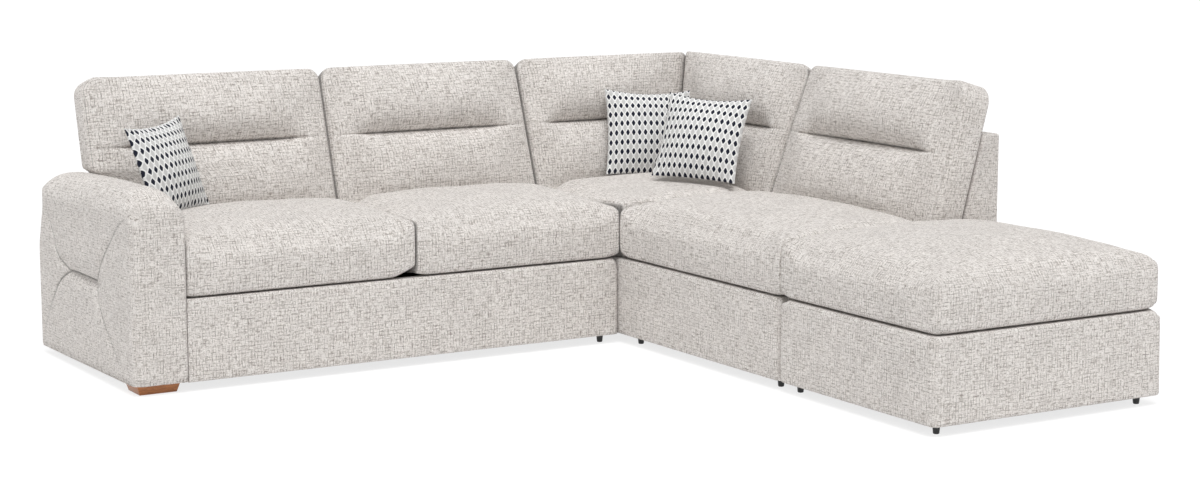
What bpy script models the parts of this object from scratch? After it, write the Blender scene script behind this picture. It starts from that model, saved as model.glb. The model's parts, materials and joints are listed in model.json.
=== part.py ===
"""Corner sofa with a chaise end: an armed two-seat run, a corner run and a footstool.

Metres, +Z up. X runs along the sofa's back wall, left to right, and Y from the front to that wall.
The origin is on the floor, under the middle of the sofa's outline.
Every piece is built in a local frame: u along its run, s from the front face back, z up.
"""

import math

import bmesh
import bpy
from mathutils import Matrix, Vector
from mathutils.bvhtree import BVHTree

# The three modules in plan
SEAT_WIDTH = 0.821
ARM_WIDTH = 0.186
SEAT_DEPTH = 0.717
BACK_DEPTH = 0.201
END_SEAT_WIDTH = 0.970
STOOL_LENGTH = 0.800
MODULE_GAP = 0.0006
PIECE_GAP = 0.0003

# Heights
FOOT_HEIGHT = 0.035
BASE_HEIGHT = 0.2705
ARM_HEIGHT = 0.664
BACK_FRAME_RISE = 0.4865
RECLINE = math.radians(15)

# Upholstered base panels
BORDER_THICKNESS = 0.045
BORDER_ROUND = 0.026
ROUND_STEPS = 3

# Timber rails under the deck
RAIL_THICKNESS = 0.040
RAIL_DROP = 0.036
DUST_COVER_THICKNESS = 0.0015

# Back frame: a wedge that leans with the cushions
BACK_PADDING = 0.020
BACK_TOP_ROUND = 0.018
BACK_ROUND_STEPS = 2
CAVITY_CLEARANCE = 0.0293
CAVITY_STEP = 0.003
BACK_BOARD_THICKNESS = 0.012
BOARD_WINDOW_RISE = 0.060
BOARD_WINDOW_HEIGHT = 0.170
RUN_WINDOW_COUNT = 6
CORNER_WINDOW_COUNT = 2
REAR_RAIL_ADVANCE = 0.015

# Zigzag springs
WIRE_RADIUS = 0.0020
EDGE_WIRE_RADIUS = 0.0032
SPRING_HALF_WIDTH = 0.028
SPRING_WAVE = 0.105
RUN_SPRING_COUNT = 6
STOOL_SPRING_COUNT = 3
SPRING_EDGE_CLEARANCE = 0.012
WAVE_POINTS = 6

# Seat cushions
SEAT_EDGE_RISE = 0.180
SEAT_CROWN = 0.088
STOOL_CROWN = 0.112
SEAT_FRONT_INSET = 0.004
SEAT_BULGE = 0.006
SEAT_SIDE_GAP = 0.0008
CUSHION_BACK_GAP = 0.004

# Back cushions
BACK_CUSHION_THICKNESS = 0.108
BACK_CUSHION_TOP = 0.984
BACK_CUSHION_CROWN = 0.056
BACK_CHANNEL_DEPTH = 0.052
BACK_CUSHION_GAP = 0.0010
BACK_CUSHION_DIP = 0.006
BACK_REST_GAP = 0.0006
ARM_OVERHANG = 0.062
LEFT_SPLIT_SHIFT = 0.006
WING_OVERLAP = 0.060
CUSHION_LEVELS = 1

# Arm
ARM_OUTER_BULGE = 0.010
ARM_SEAM_DEPTH = 0.011
ARM_SEAM_WIDTH = 0.030
ARM_PLEAT_DEPTH = 0.018
ARM_PLEAT_WIDTH = 0.026
ARM_TOP_ROUND = 0.088
ARM_SIDE_REACH = 0.084
ARM_FRONT_REACH = 0.125
ARM_REAR_REACH = 0.165
ARM_REAR_DROOP = 0.018
ARM_CORNER_ROUND = 0.022
ARM_WALL = 0.030
ARM_END_WALL = 0.075
ARM_FRAME_SIDE_GAP = 0.006
ARM_WINDOW_HEIGHT = 0.240
ARM_WINDOW_RISE = 0.180
ARM_WINDOW_COUNT = 2
PLEAT_HEIGHT = 0.342
PLEAT_FRONT = 0.300
PLEAT_REAR = 0.555
SEAM_TOP_REACH = 0.300
SEAM_BOTTOM_REACH = 0.215

# Feet
FOOT_INSET = 0.054
GLIDE_RADIUS = 0.0125
GLIDE_TOE_RADIUS = 0.0100
GLIDE_TOE_ROUND = 0.0030
GLIDE_FLANGE_RADIUS = 0.0200
GLIDE_FLANGE_HEIGHT = 0.0040
GLIDE_SIDES = 12
BLOCK_TOP_WIDTH = 0.148
BLOCK_TOP_DEPTH = 0.120
BLOCK_TAPER = 0.010
BLOCK_INSET = 0.028
BLOCK_ROUND = 0.0025

# Scatter cushions
SCATTER_SIZE = 0.365
SCATTER_THICKNESS = 0.120
SCATTER_SEAM_THICKNESS = 0.010
SCATTER_DRAW_IN = 0.020
SCATTER_REST_GAP = 0.0006
SCATTER_LIFT = 0.3145
ARM_SCATTER_FROM_ARM = 0.1366
ARM_SCATTER_FROM_BACK = 0.237
LEFT_SCATTER_FROM_WING = 0.246
LEFT_SCATTER_FROM_BACK = 0.177
RIGHT_SCATTER_FROM_WING = 0.227
RIGHT_SCATTER_FROM_BACK = 0.492

# Overrun of every cut
CUT_OVERRUN = 0.020

# Shares of a cushion's sizes where its cage has loops
SEAT_WIDTH_SHARES = (0, 0.06, 0.5, 0.94, 1)
SEAT_DEPTH_SHARES = (0, 0.075, 0.40, 0.74, 0.87, 1)
SEAT_DEPTH_CROWN_SHARES = (0, 0.40, 1.0, 0.86, 0, 0)
STOOL_DEPTH_SHARES = (0, 0.06, 0.5, 0.94, 1)
STOOL_DEPTH_CROWN_SHARES = (0, 0.30, 1.0, 0.30, 0)
SEAT_WIDTH_CROWN_SHARES = (0, 0.34, 1.0, 0.34, 0)
SEAT_HEIGHT_SHARES = (0, 0.42, 1)
BACK_WIDTH_SHARES = (0, 0.11, 0.30, 0.70, 0.89, 1)
BACK_ROW_SHARES = (0, 0.10, 0.41, 0.50, 0.59, 0.87, 1)
BACK_ROW_CROWN_SHARES = (0.36, 0.86, 1.0, 0, 1.0, 0.80, 0.12)
BACK_CHANNEL_SHARES = (0, 0.25, 1.0, 1.0, 0.25, 0)
BACK_COLUMN_CROWN_SHARES = (0.10, 0.86, 1.0, 1.0, 0.86, 0.10)
BACK_THICKNESS_SHARES = (0, 0.5, 1)
BACK_OVERHANG_SHARES = (0, 0, 0, 0.55, 1, 1, 1)
SCATTER_SHARES = (0, 0.16, 0.5, 0.84, 1)
ARM_U_SHARES = (0, 0.10, 0.24, 0.5, 0.76, 0.90, 1)
ARM_CELLS_LONG = 18
ARM_END_LOOP_SHARE = 0.02
ARM_BULGE_KEEP_SHARE = 0.5
ARM_CELLS_HIGH = 14
CROWN_POWER = 2.4
SEAM_BOW_SHARE = 0.55
UNIT_CENTRE_SHARE = 0.5
ROUND_PROFILE_SHARE = 0.5
BOARD_WINDOW_SHARE = 0.74
ARM_WINDOW_SHARE = 0.78

# Places that follow from the sizes
SOFA_DEPTH = SEAT_DEPTH + BACK_DEPTH
BASE_TOP = FOOT_HEIGHT + BASE_HEIGHT
BACK_FRAME_TOP = BASE_TOP + BACK_FRAME_RISE
RAIL_TOP = BASE_TOP - RAIL_DROP
RAIL_FOOT = FOOT_HEIGHT + DUST_COVER_THICKNESS + PIECE_GAP
BACK_SEAT = BASE_TOP + PIECE_GAP
RISE_TO_DEPTH = math.tan(RECLINE)
MODULE_WIDTH = ARM_WIDTH + 2 * SEAT_WIDTH
TOTAL_WIDTH = MODULE_WIDTH + MODULE_GAP + SOFA_DEPTH
TOTAL_DEPTH = STOOL_LENGTH + MODULE_GAP + END_SEAT_WIDTH + SOFA_DEPTH
X_LEFT = -TOTAL_WIDTH / 2
X_ARM = X_LEFT + ARM_WIDTH
X_JOIN = X_ARM + 2 * SEAT_WIDTH
X_CORNER = X_JOIN + MODULE_GAP
X_RIGHT = X_CORNER + SOFA_DEPTH
Y_FRONT = -TOTAL_DEPTH / 2
Y_STOOL = Y_FRONT + STOOL_LENGTH
Y_END = Y_STOOL + MODULE_GAP
Y_CORNER = Y_END + END_SEAT_WIDTH
Y_BACK = Y_CORNER + SOFA_DEPTH
INNER_BACK = SOFA_DEPTH - BORDER_THICKNESS
CAVITY_DEPTH = BACK_DEPTH - BORDER_THICKNESS - CAVITY_STEP - BACK_PADDING
BOARD_ROOM = CAVITY_DEPTH - BACK_BOARD_THICKNESS - CAVITY_CLEARANCE
CAVITY_RISE = BOARD_ROOM / RISE_TO_DEPTH
SCATTER_HEIGHT = BASE_TOP + SEAT_EDGE_RISE + SCATTER_LIFT


def clear_scene():
    for old in list(bpy.data.objects):
        bpy.data.objects.remove(old, do_unlink=True)


def new_collection(name):
    made = bpy.data.collections.new(name)
    bpy.context.scene.collection.children.link(made)
    return made


clear_scene()
SOFA = new_collection("sofa_with_chaise")
CUTTERS = new_collection("cutters")
CUTTERS.hide_render = True


def finish(name, colour, roughness, metallic=0.0):
    made = bpy.data.materials.new(name)
    made.use_nodes = True
    shader = made.node_tree.nodes["Principled BSDF"]
    shader.inputs["Base Color"].default_value = (*colour, 1.0)
    shader.inputs["Roughness"].default_value = roughness
    shader.inputs["Metallic"].default_value = metallic
    made.diffuse_color = (*colour, 1.0)
    return made


WEAVE = (0.60, 0.56, 0.52)
WEAVE_LIGHT = (0.64, 0.60, 0.56)
PATTERN = (0.78, 0.78, 0.77)
TIMBER = (0.62, 0.48, 0.31)
OAK = (0.52, 0.26, 0.12)
SPRING_STEEL = (0.42, 0.43, 0.45)
BLACK = (0.02, 0.02, 0.02)


def place(x, y, angle=0.0):
    """A run's frame: at angle 0, u is +X and s is +Y."""
    return Matrix.Translation((x, y, 0)) @ Matrix.Rotation(angle, 4, "Z")


QUARTER = math.pi / 2
LEFT_RUN = place(X_ARM, Y_CORNER)
CORNER_RUN = place(X_CORNER, Y_CORNER)
RIGHT_RUN = place(X_CORNER, Y_CORNER, -QUARTER)
STOOL_RUN = place(X_CORNER, Y_STOOL, -QUARTER)


def add_object(name, mesh, run, corner, look, collection=None):
    obj = bpy.data.objects.new(name, mesh)
    (collection or SOFA).objects.link(obj)
    matrix = run @ Matrix.Translation(corner)
    obj.location = matrix.to_translation()
    obj.rotation_euler = matrix.to_euler()
    if look:
        mesh.materials.append(look)
    if collection is CUTTERS:
        obj.hide_render = True
        obj.display_type = "WIRE"
    return obj


def mesh_of(bm, name):
    bmesh.ops.recalc_face_normals(bm, faces=bm.faces)
    mesh = bpy.data.meshes.new(name)
    bm.to_mesh(mesh)
    bm.free()
    return mesh


def unit_cube():
    bm = bmesh.new()
    bmesh.ops.create_cube(bm, size=1)
    bmesh.ops.translate(bm, verts=bm.verts, vec=[UNIT_CENTRE_SHARE] * 3)
    return bm


def sized_cube(size):
    bm = unit_cube()
    bmesh.ops.scale(bm, verts=bm.verts, vec=size)
    return bm


def box(name, size, run, corner, look, collection=None):
    return add_object(name, mesh_of(sized_cube(size), name), run, corner, look, collection)


def caged_cube(tables):
    """A unit cube with a loop at each share of the three tables."""
    bm = unit_cube()
    for axis, table in enumerate(tables):
        whole = []
        for edge in bm.edges:
            first, last = edge.verts
            if abs(first.co[axis] - last.co[axis]) > UNIT_CENTRE_SHARE:
                whole.append(edge)
        cells = len(table) - 1
        if cells > 1:
            bmesh.ops.subdivide_edges(bm, edges=whole, cuts=cells - 1, use_grid_fill=True)
    for vert in bm.verts:
        steps = [round(vert.co[axis] * (len(tables[axis]) - 1)) for axis in range(3)]
        vert.co = [tables[axis][steps[axis]] for axis in range(3)]
    return bm


def soften(obj, levels):
    subdivision = obj.modifiers.new("soft form", "SUBSURF")
    subdivision.levels = levels
    subdivision.render_levels = levels
    obj.data.shade_smooth()


def cut_with(obj, cutter):
    cut = obj.modifiers.new("cut " + cutter.name, "BOOLEAN")
    cut.operation = "DIFFERENCE"
    cut.object = cutter


def outline_mesh(name, points, length):
    """An outline in s and z, extruded along u from zero to length."""
    curve = bpy.data.curves.new(name + " outline", "CURVE")
    curve.dimensions = "2D"
    curve.fill_mode = "BOTH"
    curve.extrude = length / 2
    spline = curve.splines.new("POLY")
    spline.points.add(len(points) - 1)
    for point, (s, z) in zip(spline.points, points):
        point.co = (s, z, 0, 1)
    spline.use_cyclic_u = True
    guide = bpy.data.objects.new(name + " outline", curve)
    CUTTERS.objects.link(guide)
    bpy.context.view_layer.update()
    graph = bpy.context.evaluated_depsgraph_get()
    mesh = bpy.data.meshes.new_from_object(guide.evaluated_get(graph))
    bpy.data.objects.remove(guide, do_unlink=True)
    bm = bmesh.new()
    bm.from_mesh(mesh)
    bmesh.ops.remove_doubles(bm, verts=bm.verts, dist=PIECE_GAP / 10)
    standing = Matrix(((0, 0, 1, length / 2), (1, 0, 0, 0), (0, 1, 0, 0), (0, 0, 0, 1)))
    bmesh.ops.transform(bm, matrix=standing, verts=bm.verts)
    return bm


# Base: upholstered panels


def border(name, length, run, corner, round_start, round_end):
    """A padded panel whose outer top edge, and outer corners where they show, are rounded."""
    bm = sized_cube((length, BORDER_THICKNESS, BASE_HEIGHT))
    soft = []
    for edge in bm.edges:
        middle = (edge.verts[0].co + edge.verts[1].co) / 2
        on_face = middle.y < PIECE_GAP
        on_top = middle.z > BASE_HEIGHT - PIECE_GAP
        at_start = middle.x < PIECE_GAP and round_start
        at_end = middle.x > length - PIECE_GAP and round_end
        if on_face and on_top:
            soft.append(edge)
        elif (at_start or at_end) and (on_face or on_top):
            soft.append(edge)
    bmesh.ops.bevel(bm, geom=soft, offset=BORDER_ROUND, segments=ROUND_STEPS, profile=ROUND_PROFILE_SHARE, affect="EDGES")
    look = finish(name + " weave", WEAVE, 0.9)
    obj = add_object(name, mesh_of(bm, name), run, (*corner, FOOT_HEIGHT), look)
    obj.data.shade_smooth()
    obj.data.set_sharp_from_angle(angle=math.radians(40))
    return obj


side_length = INNER_BACK - BORDER_THICKNESS - 2 * PIECE_GAP
behind_front = BORDER_THICKNESS + PIECE_GAP

border("left_front_border", 2 * SEAT_WIDTH - PIECE_GAP, LEFT_RUN, (PIECE_GAP, 0), False, True)
end_run = place(X_JOIN, Y_CORNER, QUARTER)
border("left_end_border", side_length, end_run, (behind_front, 0), False, False)
right_length = END_SEAT_WIDTH + INNER_BACK - PIECE_GAP
border("right_front_border", right_length, RIGHT_RUN, (PIECE_GAP - INNER_BACK, 0), False, True)
right_end_run = place(X_CORNER, Y_END)
border("right_end_border", side_length, right_end_run, (behind_front, 0), False, False)
border("footstool_front_border", SOFA_DEPTH, place(X_CORNER, Y_FRONT), (0, 0), True, True)
border("footstool_rear_border", SOFA_DEPTH, place(X_RIGHT, Y_STOOL, math.pi), (0, 0), True, True)
stool_side = STOOL_LENGTH - 2 * behind_front
border("footstool_left_border", stool_side, STOOL_RUN, (behind_front, 0), False, False)
stool_right_run = place(X_RIGHT, Y_FRONT, QUARTER)
border("footstool_right_border", stool_side, stool_right_run, (behind_front, 0), False, False)


# Back frames: wedges with a hollow that opens downwards


def slope_at(z):
    """How far behind the front face the back frame's front is at this height."""
    return SEAT_DEPTH + (z - BASE_TOP) * RISE_TO_DEPTH


def wedge_outline(grown=0.0):
    low = BACK_SEAT - grown
    top = BACK_FRAME_TOP
    return [
        (slope_at(low) - grown, low),
        (slope_at(top) - grown, top),
        (SOFA_DEPTH, top),
        (SOFA_DEPTH, FOOT_HEIGHT),
        (INNER_BACK, FOOT_HEIGHT),
        (INNER_BACK, low),
    ]


def back_cover(name, length, run, start, hollow_end, windows):
    bm = outline_mesh(name, wedge_outline(), length)
    soft = []
    for edge in bm.edges:
        heights = [vert.co.z for vert in edge.verts]
        behind = [vert.co.y for vert in edge.verts]
        if min(heights) > BACK_FRAME_TOP - PIECE_GAP:
            soft.append(edge)
        elif max(heights) > BACK_FRAME_TOP - PIECE_GAP and min(behind) > SOFA_DEPTH - PIECE_GAP:
            soft.append(edge)
    bmesh.ops.bevel(
        bm, geom=soft, offset=BACK_TOP_ROUND, segments=BACK_ROUND_STEPS, profile=ROUND_PROFILE_SHARE, affect="EDGES"
    )
    look = finish(name + " weave", WEAVE, 0.9)
    cover = add_object(name, mesh_of(bm, name), run, (start, 0, 0), look)
    hollow_top = BASE_TOP + CAVITY_RISE
    low = BACK_SEAT - CUT_OVERRUN
    inner_rear = INNER_BACK - CAVITY_STEP
    hollow = [
        (slope_at(low) + BACK_PADDING, low),
        (slope_at(hollow_top) + BACK_PADDING, hollow_top),
        (inner_rear, hollow_top),
        (inner_rear, low),
    ]
    hollow_length = hollow_end - start - BACK_PADDING
    cutter_mesh = mesh_of(outline_mesh(name + " hollow", hollow, hollow_length), name + " hollow")
    cutter_corner = (start + BACK_PADDING, 0, 0)
    cutter = add_object(name + " hollow", cutter_mesh, run, cutter_corner, None, CUTTERS)
    cut_with(cover, cutter)
    cover.data.shade_smooth()
    cover.data.set_sharp_from_angle(angle=math.radians(40))
    board_start = start + behind_front
    board_end = min(hollow_end, start + length - BORDER_THICKNESS) - PIECE_GAP
    board_name = name.replace("cover", "board")
    back_board(board_name, board_end - board_start, run, board_start, windows)
    return cover


def back_board(name, length, run, start, windows):
    """The leaning plywood board that stands on the rear rail, with its lightening windows."""
    low = RAIL_TOP + PIECE_GAP
    top = BASE_TOP + CAVITY_RISE - PIECE_GAP
    front = BACK_PADDING + PIECE_GAP
    rear = front + BACK_BOARD_THICKNESS
    outline = [
        (slope_at(low) + front, low),
        (slope_at(top) + front, top),
        (slope_at(top) + rear, top),
        (slope_at(low) + rear, low),
    ]
    look = finish(name + " plywood", TIMBER, 0.7)
    board_mesh = mesh_of(outline_mesh(name, outline, length), name)
    board = add_object(name, board_mesh, run, (start, 0, 0), look)
    pitch = length / windows
    bm = bmesh.new()
    for index in range(windows):
        window = bmesh.ops.create_cube(bm, size=1)
        size = (pitch * BOARD_WINDOW_SHARE, SOFA_DEPTH, BOARD_WINDOW_HEIGHT)
        bmesh.ops.scale(bm, verts=window["verts"], vec=size)
        middle_u = (index + UNIT_CENTRE_SHARE) * pitch
        middle_z = BASE_TOP + BOARD_WINDOW_RISE + BOARD_WINDOW_HEIGHT / 2
        middle = (middle_u, SOFA_DEPTH, middle_z)
        bmesh.ops.translate(bm, verts=window["verts"], vec=middle)
    window_mesh = mesh_of(bm, name + " windows")
    cutter = add_object(name + " windows", window_mesh, run, (start, 0, 0), None, CUTTERS)
    cut_with(board, cutter)
    return board


left_back_length = 2 * SEAT_WIDTH - PIECE_GAP
left_hollow_end = 2 * SEAT_WIDTH - BACK_PADDING
back_cover(
    "left_back_cover", left_back_length, LEFT_RUN, PIECE_GAP, left_hollow_end, RUN_WINDOW_COUNT
)
right_back_length = SOFA_DEPTH + END_SEAT_WIDTH
right_hollow_end = END_SEAT_WIDTH - BACK_PADDING
back_cover(
    "right_back_cover",
    right_back_length,
    RIGHT_RUN,
    -SOFA_DEPTH,
    right_hollow_end,
    RUN_WINDOW_COUNT,
)
corner_length = INNER_BACK - PIECE_GAP
corner_cover = back_cover(
    "corner_back_cover",
    corner_length,
    CORNER_RUN,
    0,
    SEAT_DEPTH - BACK_PADDING,
    CORNER_WINDOW_COUNT,
)
mitre_low = BACK_SEAT - PIECE_GAP
mitre_top = BACK_FRAME_TOP + CUT_OVERRUN
mitre_rear = SOFA_DEPTH + CUT_OVERRUN
mitre_outline = [
    (slope_at(mitre_low) - PIECE_GAP, mitre_low),
    (slope_at(mitre_top) - PIECE_GAP, mitre_top),
    (mitre_rear, mitre_top),
    (mitre_rear, mitre_low),
]
mitre_mesh = mesh_of(outline_mesh("corner mitre", mitre_outline, SOFA_DEPTH), "corner mitre")
mitre = add_object(
    "corner mitre", mitre_mesh, RIGHT_RUN, (-SOFA_DEPTH - CUT_OVERRUN, 0, 0), None, CUTTERS
)
cut_with(corner_cover, mitre)


# Timber rails, and the dust cover that closes each module's underside

rail_height = RAIL_TOP - RAIL_FOOT
rear_rail_s = SEAT_DEPTH - REAR_RAIL_ADVANCE


def rail(name, length, depth, run, corner):
    look = finish(name + " timber", TIMBER, 0.7)
    return box(name, (length, depth, rail_height), run, (*corner, RAIL_FOOT), look)


def dust_cover(name, length, depth, run, corner):
    look = finish(name + " cloth", BLACK, 0.95)
    size = (length, depth, DUST_COVER_THICKNESS)
    return box(name, size, run, (*corner, FOOT_HEIGHT), look)


between_rails = rear_rail_s - behind_front - RAIL_THICKNESS - 2 * PIECE_GAP
behind_rail = behind_front + RAIL_THICKNESS + PIECE_GAP
left_inner = 2 * SEAT_WIDTH - BORDER_THICKNESS - 2 * PIECE_GAP
left_rail_end = 2 * SEAT_WIDTH - BORDER_THICKNESS - PIECE_GAP - RAIL_THICKNESS
rail("left_front_rail", left_inner, RAIL_THICKNESS, LEFT_RUN, (PIECE_GAP, behind_front))
rail("left_rear_rail", left_inner, RAIL_THICKNESS, LEFT_RUN, (PIECE_GAP, rear_rail_s))
rail("left_end_rail", RAIL_THICKNESS, between_rails, LEFT_RUN, (left_rail_end, behind_rail))
cover_depth = INNER_BACK - behind_front - PIECE_GAP
dust_cover("left_dust_cover", left_inner, cover_depth, LEFT_RUN, (PIECE_GAP, behind_front))

right_inner = END_SEAT_WIDTH - BORDER_THICKNESS - PIECE_GAP
right_rail_start = PIECE_GAP - INNER_BACK
right_rail_length = INNER_BACK + right_inner - PIECE_GAP
rail(
    "right_front_rail", right_rail_length, RAIL_THICKNESS, RIGHT_RUN, (right_rail_start, behind_front)
)
corner_rail_u = -rear_rail_s - RAIL_THICKNESS
right_rear_start = -rear_rail_s + PIECE_GAP
right_rear_length = right_inner - right_rear_start
rail(
    "right_rear_rail", right_rear_length, RAIL_THICKNESS, RIGHT_RUN, (right_rear_start, rear_rail_s)
)
corner_rail_length = INNER_BACK - behind_rail - PIECE_GAP
rail("corner_rail", RAIL_THICKNESS, corner_rail_length, RIGHT_RUN, (corner_rail_u, behind_rail))
end_rail_u = right_inner - RAIL_THICKNESS
rail("right_end_rail", RAIL_THICKNESS, between_rails, RIGHT_RUN, (end_rail_u, behind_rail))
dust_cover(
    "right_dust_cover", right_rail_length, cover_depth, RIGHT_RUN, (right_rail_start, behind_front)
)

stool_depth_inner = SOFA_DEPTH - 2 * behind_front
stool_rail_u = STOOL_LENGTH - behind_front - RAIL_THICKNESS
stool_rail_s = SOFA_DEPTH - behind_front - RAIL_THICKNESS
stool_between = stool_rail_s - behind_rail - PIECE_GAP
stool_cross = stool_side
rail("footstool_left_rail", stool_cross, RAIL_THICKNESS, STOOL_RUN, (behind_front, behind_front))
rail("footstool_right_rail", stool_cross, RAIL_THICKNESS, STOOL_RUN, (behind_front, stool_rail_s))
rail("footstool_rear_rail", RAIL_THICKNESS, stool_between, STOOL_RUN, (behind_front, behind_rail))
rail("footstool_front_rail", RAIL_THICKNESS, stool_between, STOOL_RUN, (stool_rail_u, behind_rail))
dust_cover(
    "footstool_dust_cover", stool_cross, stool_depth_inner, STOOL_RUN, (behind_front, behind_front)
)


# Zigzag spring decks: arched wires between two edge wires that lie on the rails

edge_wire_z = RAIL_TOP + EDGE_WIRE_RADIUS + PIECE_GAP
spring_arch = RAIL_DROP - 2 * PIECE_GAP - EDGE_WIRE_RADIUS - WIRE_RADIUS


def wire(name, points, radius, sides_step):
    curve = bpy.data.curves.new(name, "CURVE")
    curve.dimensions = "3D"
    curve.bevel_depth = radius
    curve.bevel_resolution = sides_step
    curve.use_fill_caps = True
    spline = curve.splines.new("POLY")
    spline.points.add(len(points) - 1)
    for point, co in zip(spline.points, points):
        point.co = (*co, 1)
    guide = bpy.data.objects.new(name, curve)
    CUTTERS.objects.link(guide)
    bpy.context.view_layer.update()
    graph = bpy.context.evaluated_depsgraph_get()
    mesh = bpy.data.meshes.new_from_object(guide.evaluated_get(graph))
    bpy.data.objects.remove(guide, do_unlink=True)
    bm = bmesh.new()
    bm.from_mesh(mesh)
    bmesh.ops.remove_doubles(bm, verts=bm.verts, dist=PIECE_GAP / 10)
    return mesh_of(bm, name)


def spring_points(u, first, last):
    reach = last - first
    waves = max(1, round(reach / SPRING_WAVE))
    count = waves * WAVE_POINTS
    points = []
    for step in range(count + 1):
        share = step / count
        swing = SPRING_HALF_WIDTH * math.sin(2 * math.pi * waves * share)
        arch = spring_arch * math.sin(math.pi * share)
        points.append((u + swing, first + reach * share, edge_wire_z + arch))
    return points


def spring_deck(name, start, end, first, last, run, springs):
    """Springs from one edge wire to the other, evenly between start and end along the run."""
    margin = SPRING_HALF_WIDTH + SPRING_EDGE_CLEARANCE
    room = end - start - 2 * margin
    pitch = room / (springs - 1)
    look = finish(name + " steel", SPRING_STEEL, 0.35, 1.0)
    edge_start = start + SPRING_EDGE_CLEARANCE
    edge_end = end - SPRING_EDGE_CLEARANCE
    front_wire = [(edge_start, first, edge_wire_z), (edge_end, first, edge_wire_z)]
    rear_wire = [(edge_start, last, edge_wire_z), (edge_end, last, edge_wire_z)]
    deck_mesh = wire(name, front_wire, EDGE_WIRE_RADIUS, 1)
    deck = add_object(name, deck_mesh, run, (0, 0, 0), look)
    joined = [("rear wire", wire(name + " rear wire", rear_wire, EDGE_WIRE_RADIUS, 1))]
    for index in range(springs):
        u = start + margin + index * pitch
        label = "spring " + str(index + 1)
        joined.append((label, wire(name + " " + label, spring_points(u, first, last), WIRE_RADIUS, 0)))
    for label, mesh in reversed(joined):
        tool = add_object(name + " " + label, mesh, run, (0, 0, 0), None, CUTTERS)
        union = deck.modifiers.new(label, "BOOLEAN")
        union.operation = "UNION"
        union.object = tool
    return deck


front_wire_s = behind_front + RAIL_THICKNESS / 2
rear_wire_s = rear_rail_s + EDGE_WIRE_RADIUS + PIECE_GAP
spring_deck(
    "left_spring_deck", 0, left_rail_end, front_wire_s, rear_wire_s, LEFT_RUN, RUN_SPRING_COUNT
)
spring_deck(
    "right_spring_deck",
    right_rear_start,
    end_rail_u,
    front_wire_s,
    rear_wire_s,
    RIGHT_RUN,
    RUN_SPRING_COUNT,
)
stool_front_s = SOFA_DEPTH - front_wire_s
spring_deck(
    "footstool_spring_deck",
    behind_rail,
    stool_rail_u,
    front_wire_s,
    stool_front_s,
    STOOL_RUN,
    STOOL_SPRING_COUNT,
)


# How far a soft piece can move before it rests on another


def evaluated_tree(obj):
    graph = bpy.context.evaluated_depsgraph_get()
    evaluated = obj.evaluated_get(graph)
    mesh = evaluated.to_mesh()
    points = [evaluated.matrix_world @ vert.co for vert in mesh.vertices]
    faces = [tuple(polygon.vertices) for polygon in mesh.polygons]
    evaluated.to_mesh_clear()
    return points, BVHTree.FromPolygons(points, faces)


def free_way(obj, supports, way):
    """The least distance that the object can move this way before it meets a support."""
    bpy.context.view_layer.update()
    own_points, own_tree = evaluated_tree(obj)
    least = None
    for support in supports:
        points, tree = evaluated_tree(support)
        hits = [tree.ray_cast(point, way)[3] for point in own_points]
        hits += [own_tree.ray_cast(point, -way)[3] for point in points]
        for hit in hits:
            if hit is not None and (least is None or hit < least):
                least = hit
    return least


# Seat cushions


def crown_share(share):
    """One in the middle of a side and zero at its ends."""
    return 1 - abs(2 * share - 1) ** CROWN_POWER


def table_share(value, places, levels):
    """The level beside the place in the table that lies nearest this value."""
    nearest = min(range(len(places)), key=lambda index: abs(places[index] - value))
    return levels[nearest]


def seat_cushion(name, width, depth, run, start, open_front=True, open_end=False, in_corner=False):
    """A crowned cushion. Its bottom is flat on the deck, and a shown side bulges a little."""
    top_crown = STOOL_CROWN if open_end else SEAT_CROWN
    depth_shares = STOOL_DEPTH_SHARES if open_end else SEAT_DEPTH_SHARES
    depth_crown_shares = STOOL_DEPTH_CROWN_SHARES if open_end else SEAT_DEPTH_CROWN_SHARES
    width_shares = SEAT_DEPTH_SHARES if in_corner else SEAT_WIDTH_SHARES
    width_crown_shares = SEAT_DEPTH_CROWN_SHARES if in_corner else SEAT_WIDTH_CROWN_SHARES
    bm = caged_cube((width_shares, depth_shares, SEAT_HEIGHT_SHARES))
    front = SEAT_FRONT_INSET if open_front else SEAT_SIDE_GAP
    rear = depth - (SEAT_FRONT_INSET if open_end else CUSHION_BACK_GAP)
    first = SEAT_SIDE_GAP
    last = width - SEAT_SIDE_GAP
    for vert in bm.verts:
        u, s, h = vert.co
        middle = 0 < h < 1
        crown = table_share(u, width_shares, width_crown_shares)
        crown *= table_share(s, depth_shares, depth_crown_shares)
        rise = SEAT_EDGE_RISE + top_crown * crown
        co = Vector((first + (last - first) * u, front + (rear - front) * s, rise * h))
        if middle and s == 0 and open_front:
            co.y -= SEAT_BULGE * crown_share(u)
        if middle and s == 1 and open_end:
            co.y += SEAT_BULGE * crown_share(u)
        vert.co = co
    look = finish(name + " weave", WEAVE_LIGHT, 0.9)
    cushion = add_object(name, mesh_of(bm, name), run, (start, 0, BACK_SEAT), look)
    soften(cushion, CUSHION_LEVELS)
    return cushion


corner_width = SEAT_DEPTH - CUSHION_BACK_GAP
seats = [
    seat_cushion("seat_cushion_left", SEAT_WIDTH, SEAT_DEPTH, LEFT_RUN, 0),
    seat_cushion("seat_cushion_middle", SEAT_WIDTH, SEAT_DEPTH, LEFT_RUN, SEAT_WIDTH),
    seat_cushion("seat_cushion_corner", corner_width, SEAT_DEPTH, CORNER_RUN, 0, False, False, True),
    seat_cushion("seat_cushion_right", END_SEAT_WIDTH, SEAT_DEPTH, RIGHT_RUN, 0),
]
seat_cushion("footstool_cushion", STOOL_LENGTH, SOFA_DEPTH, STOOL_RUN, 0, True, True)


# Back cushions: each leans on the back frame and has one deep channel across its front


def seat_height_at_back():
    return BASE_TOP + SEAT_EDGE_RISE - BACK_CUSHION_DIP


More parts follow.
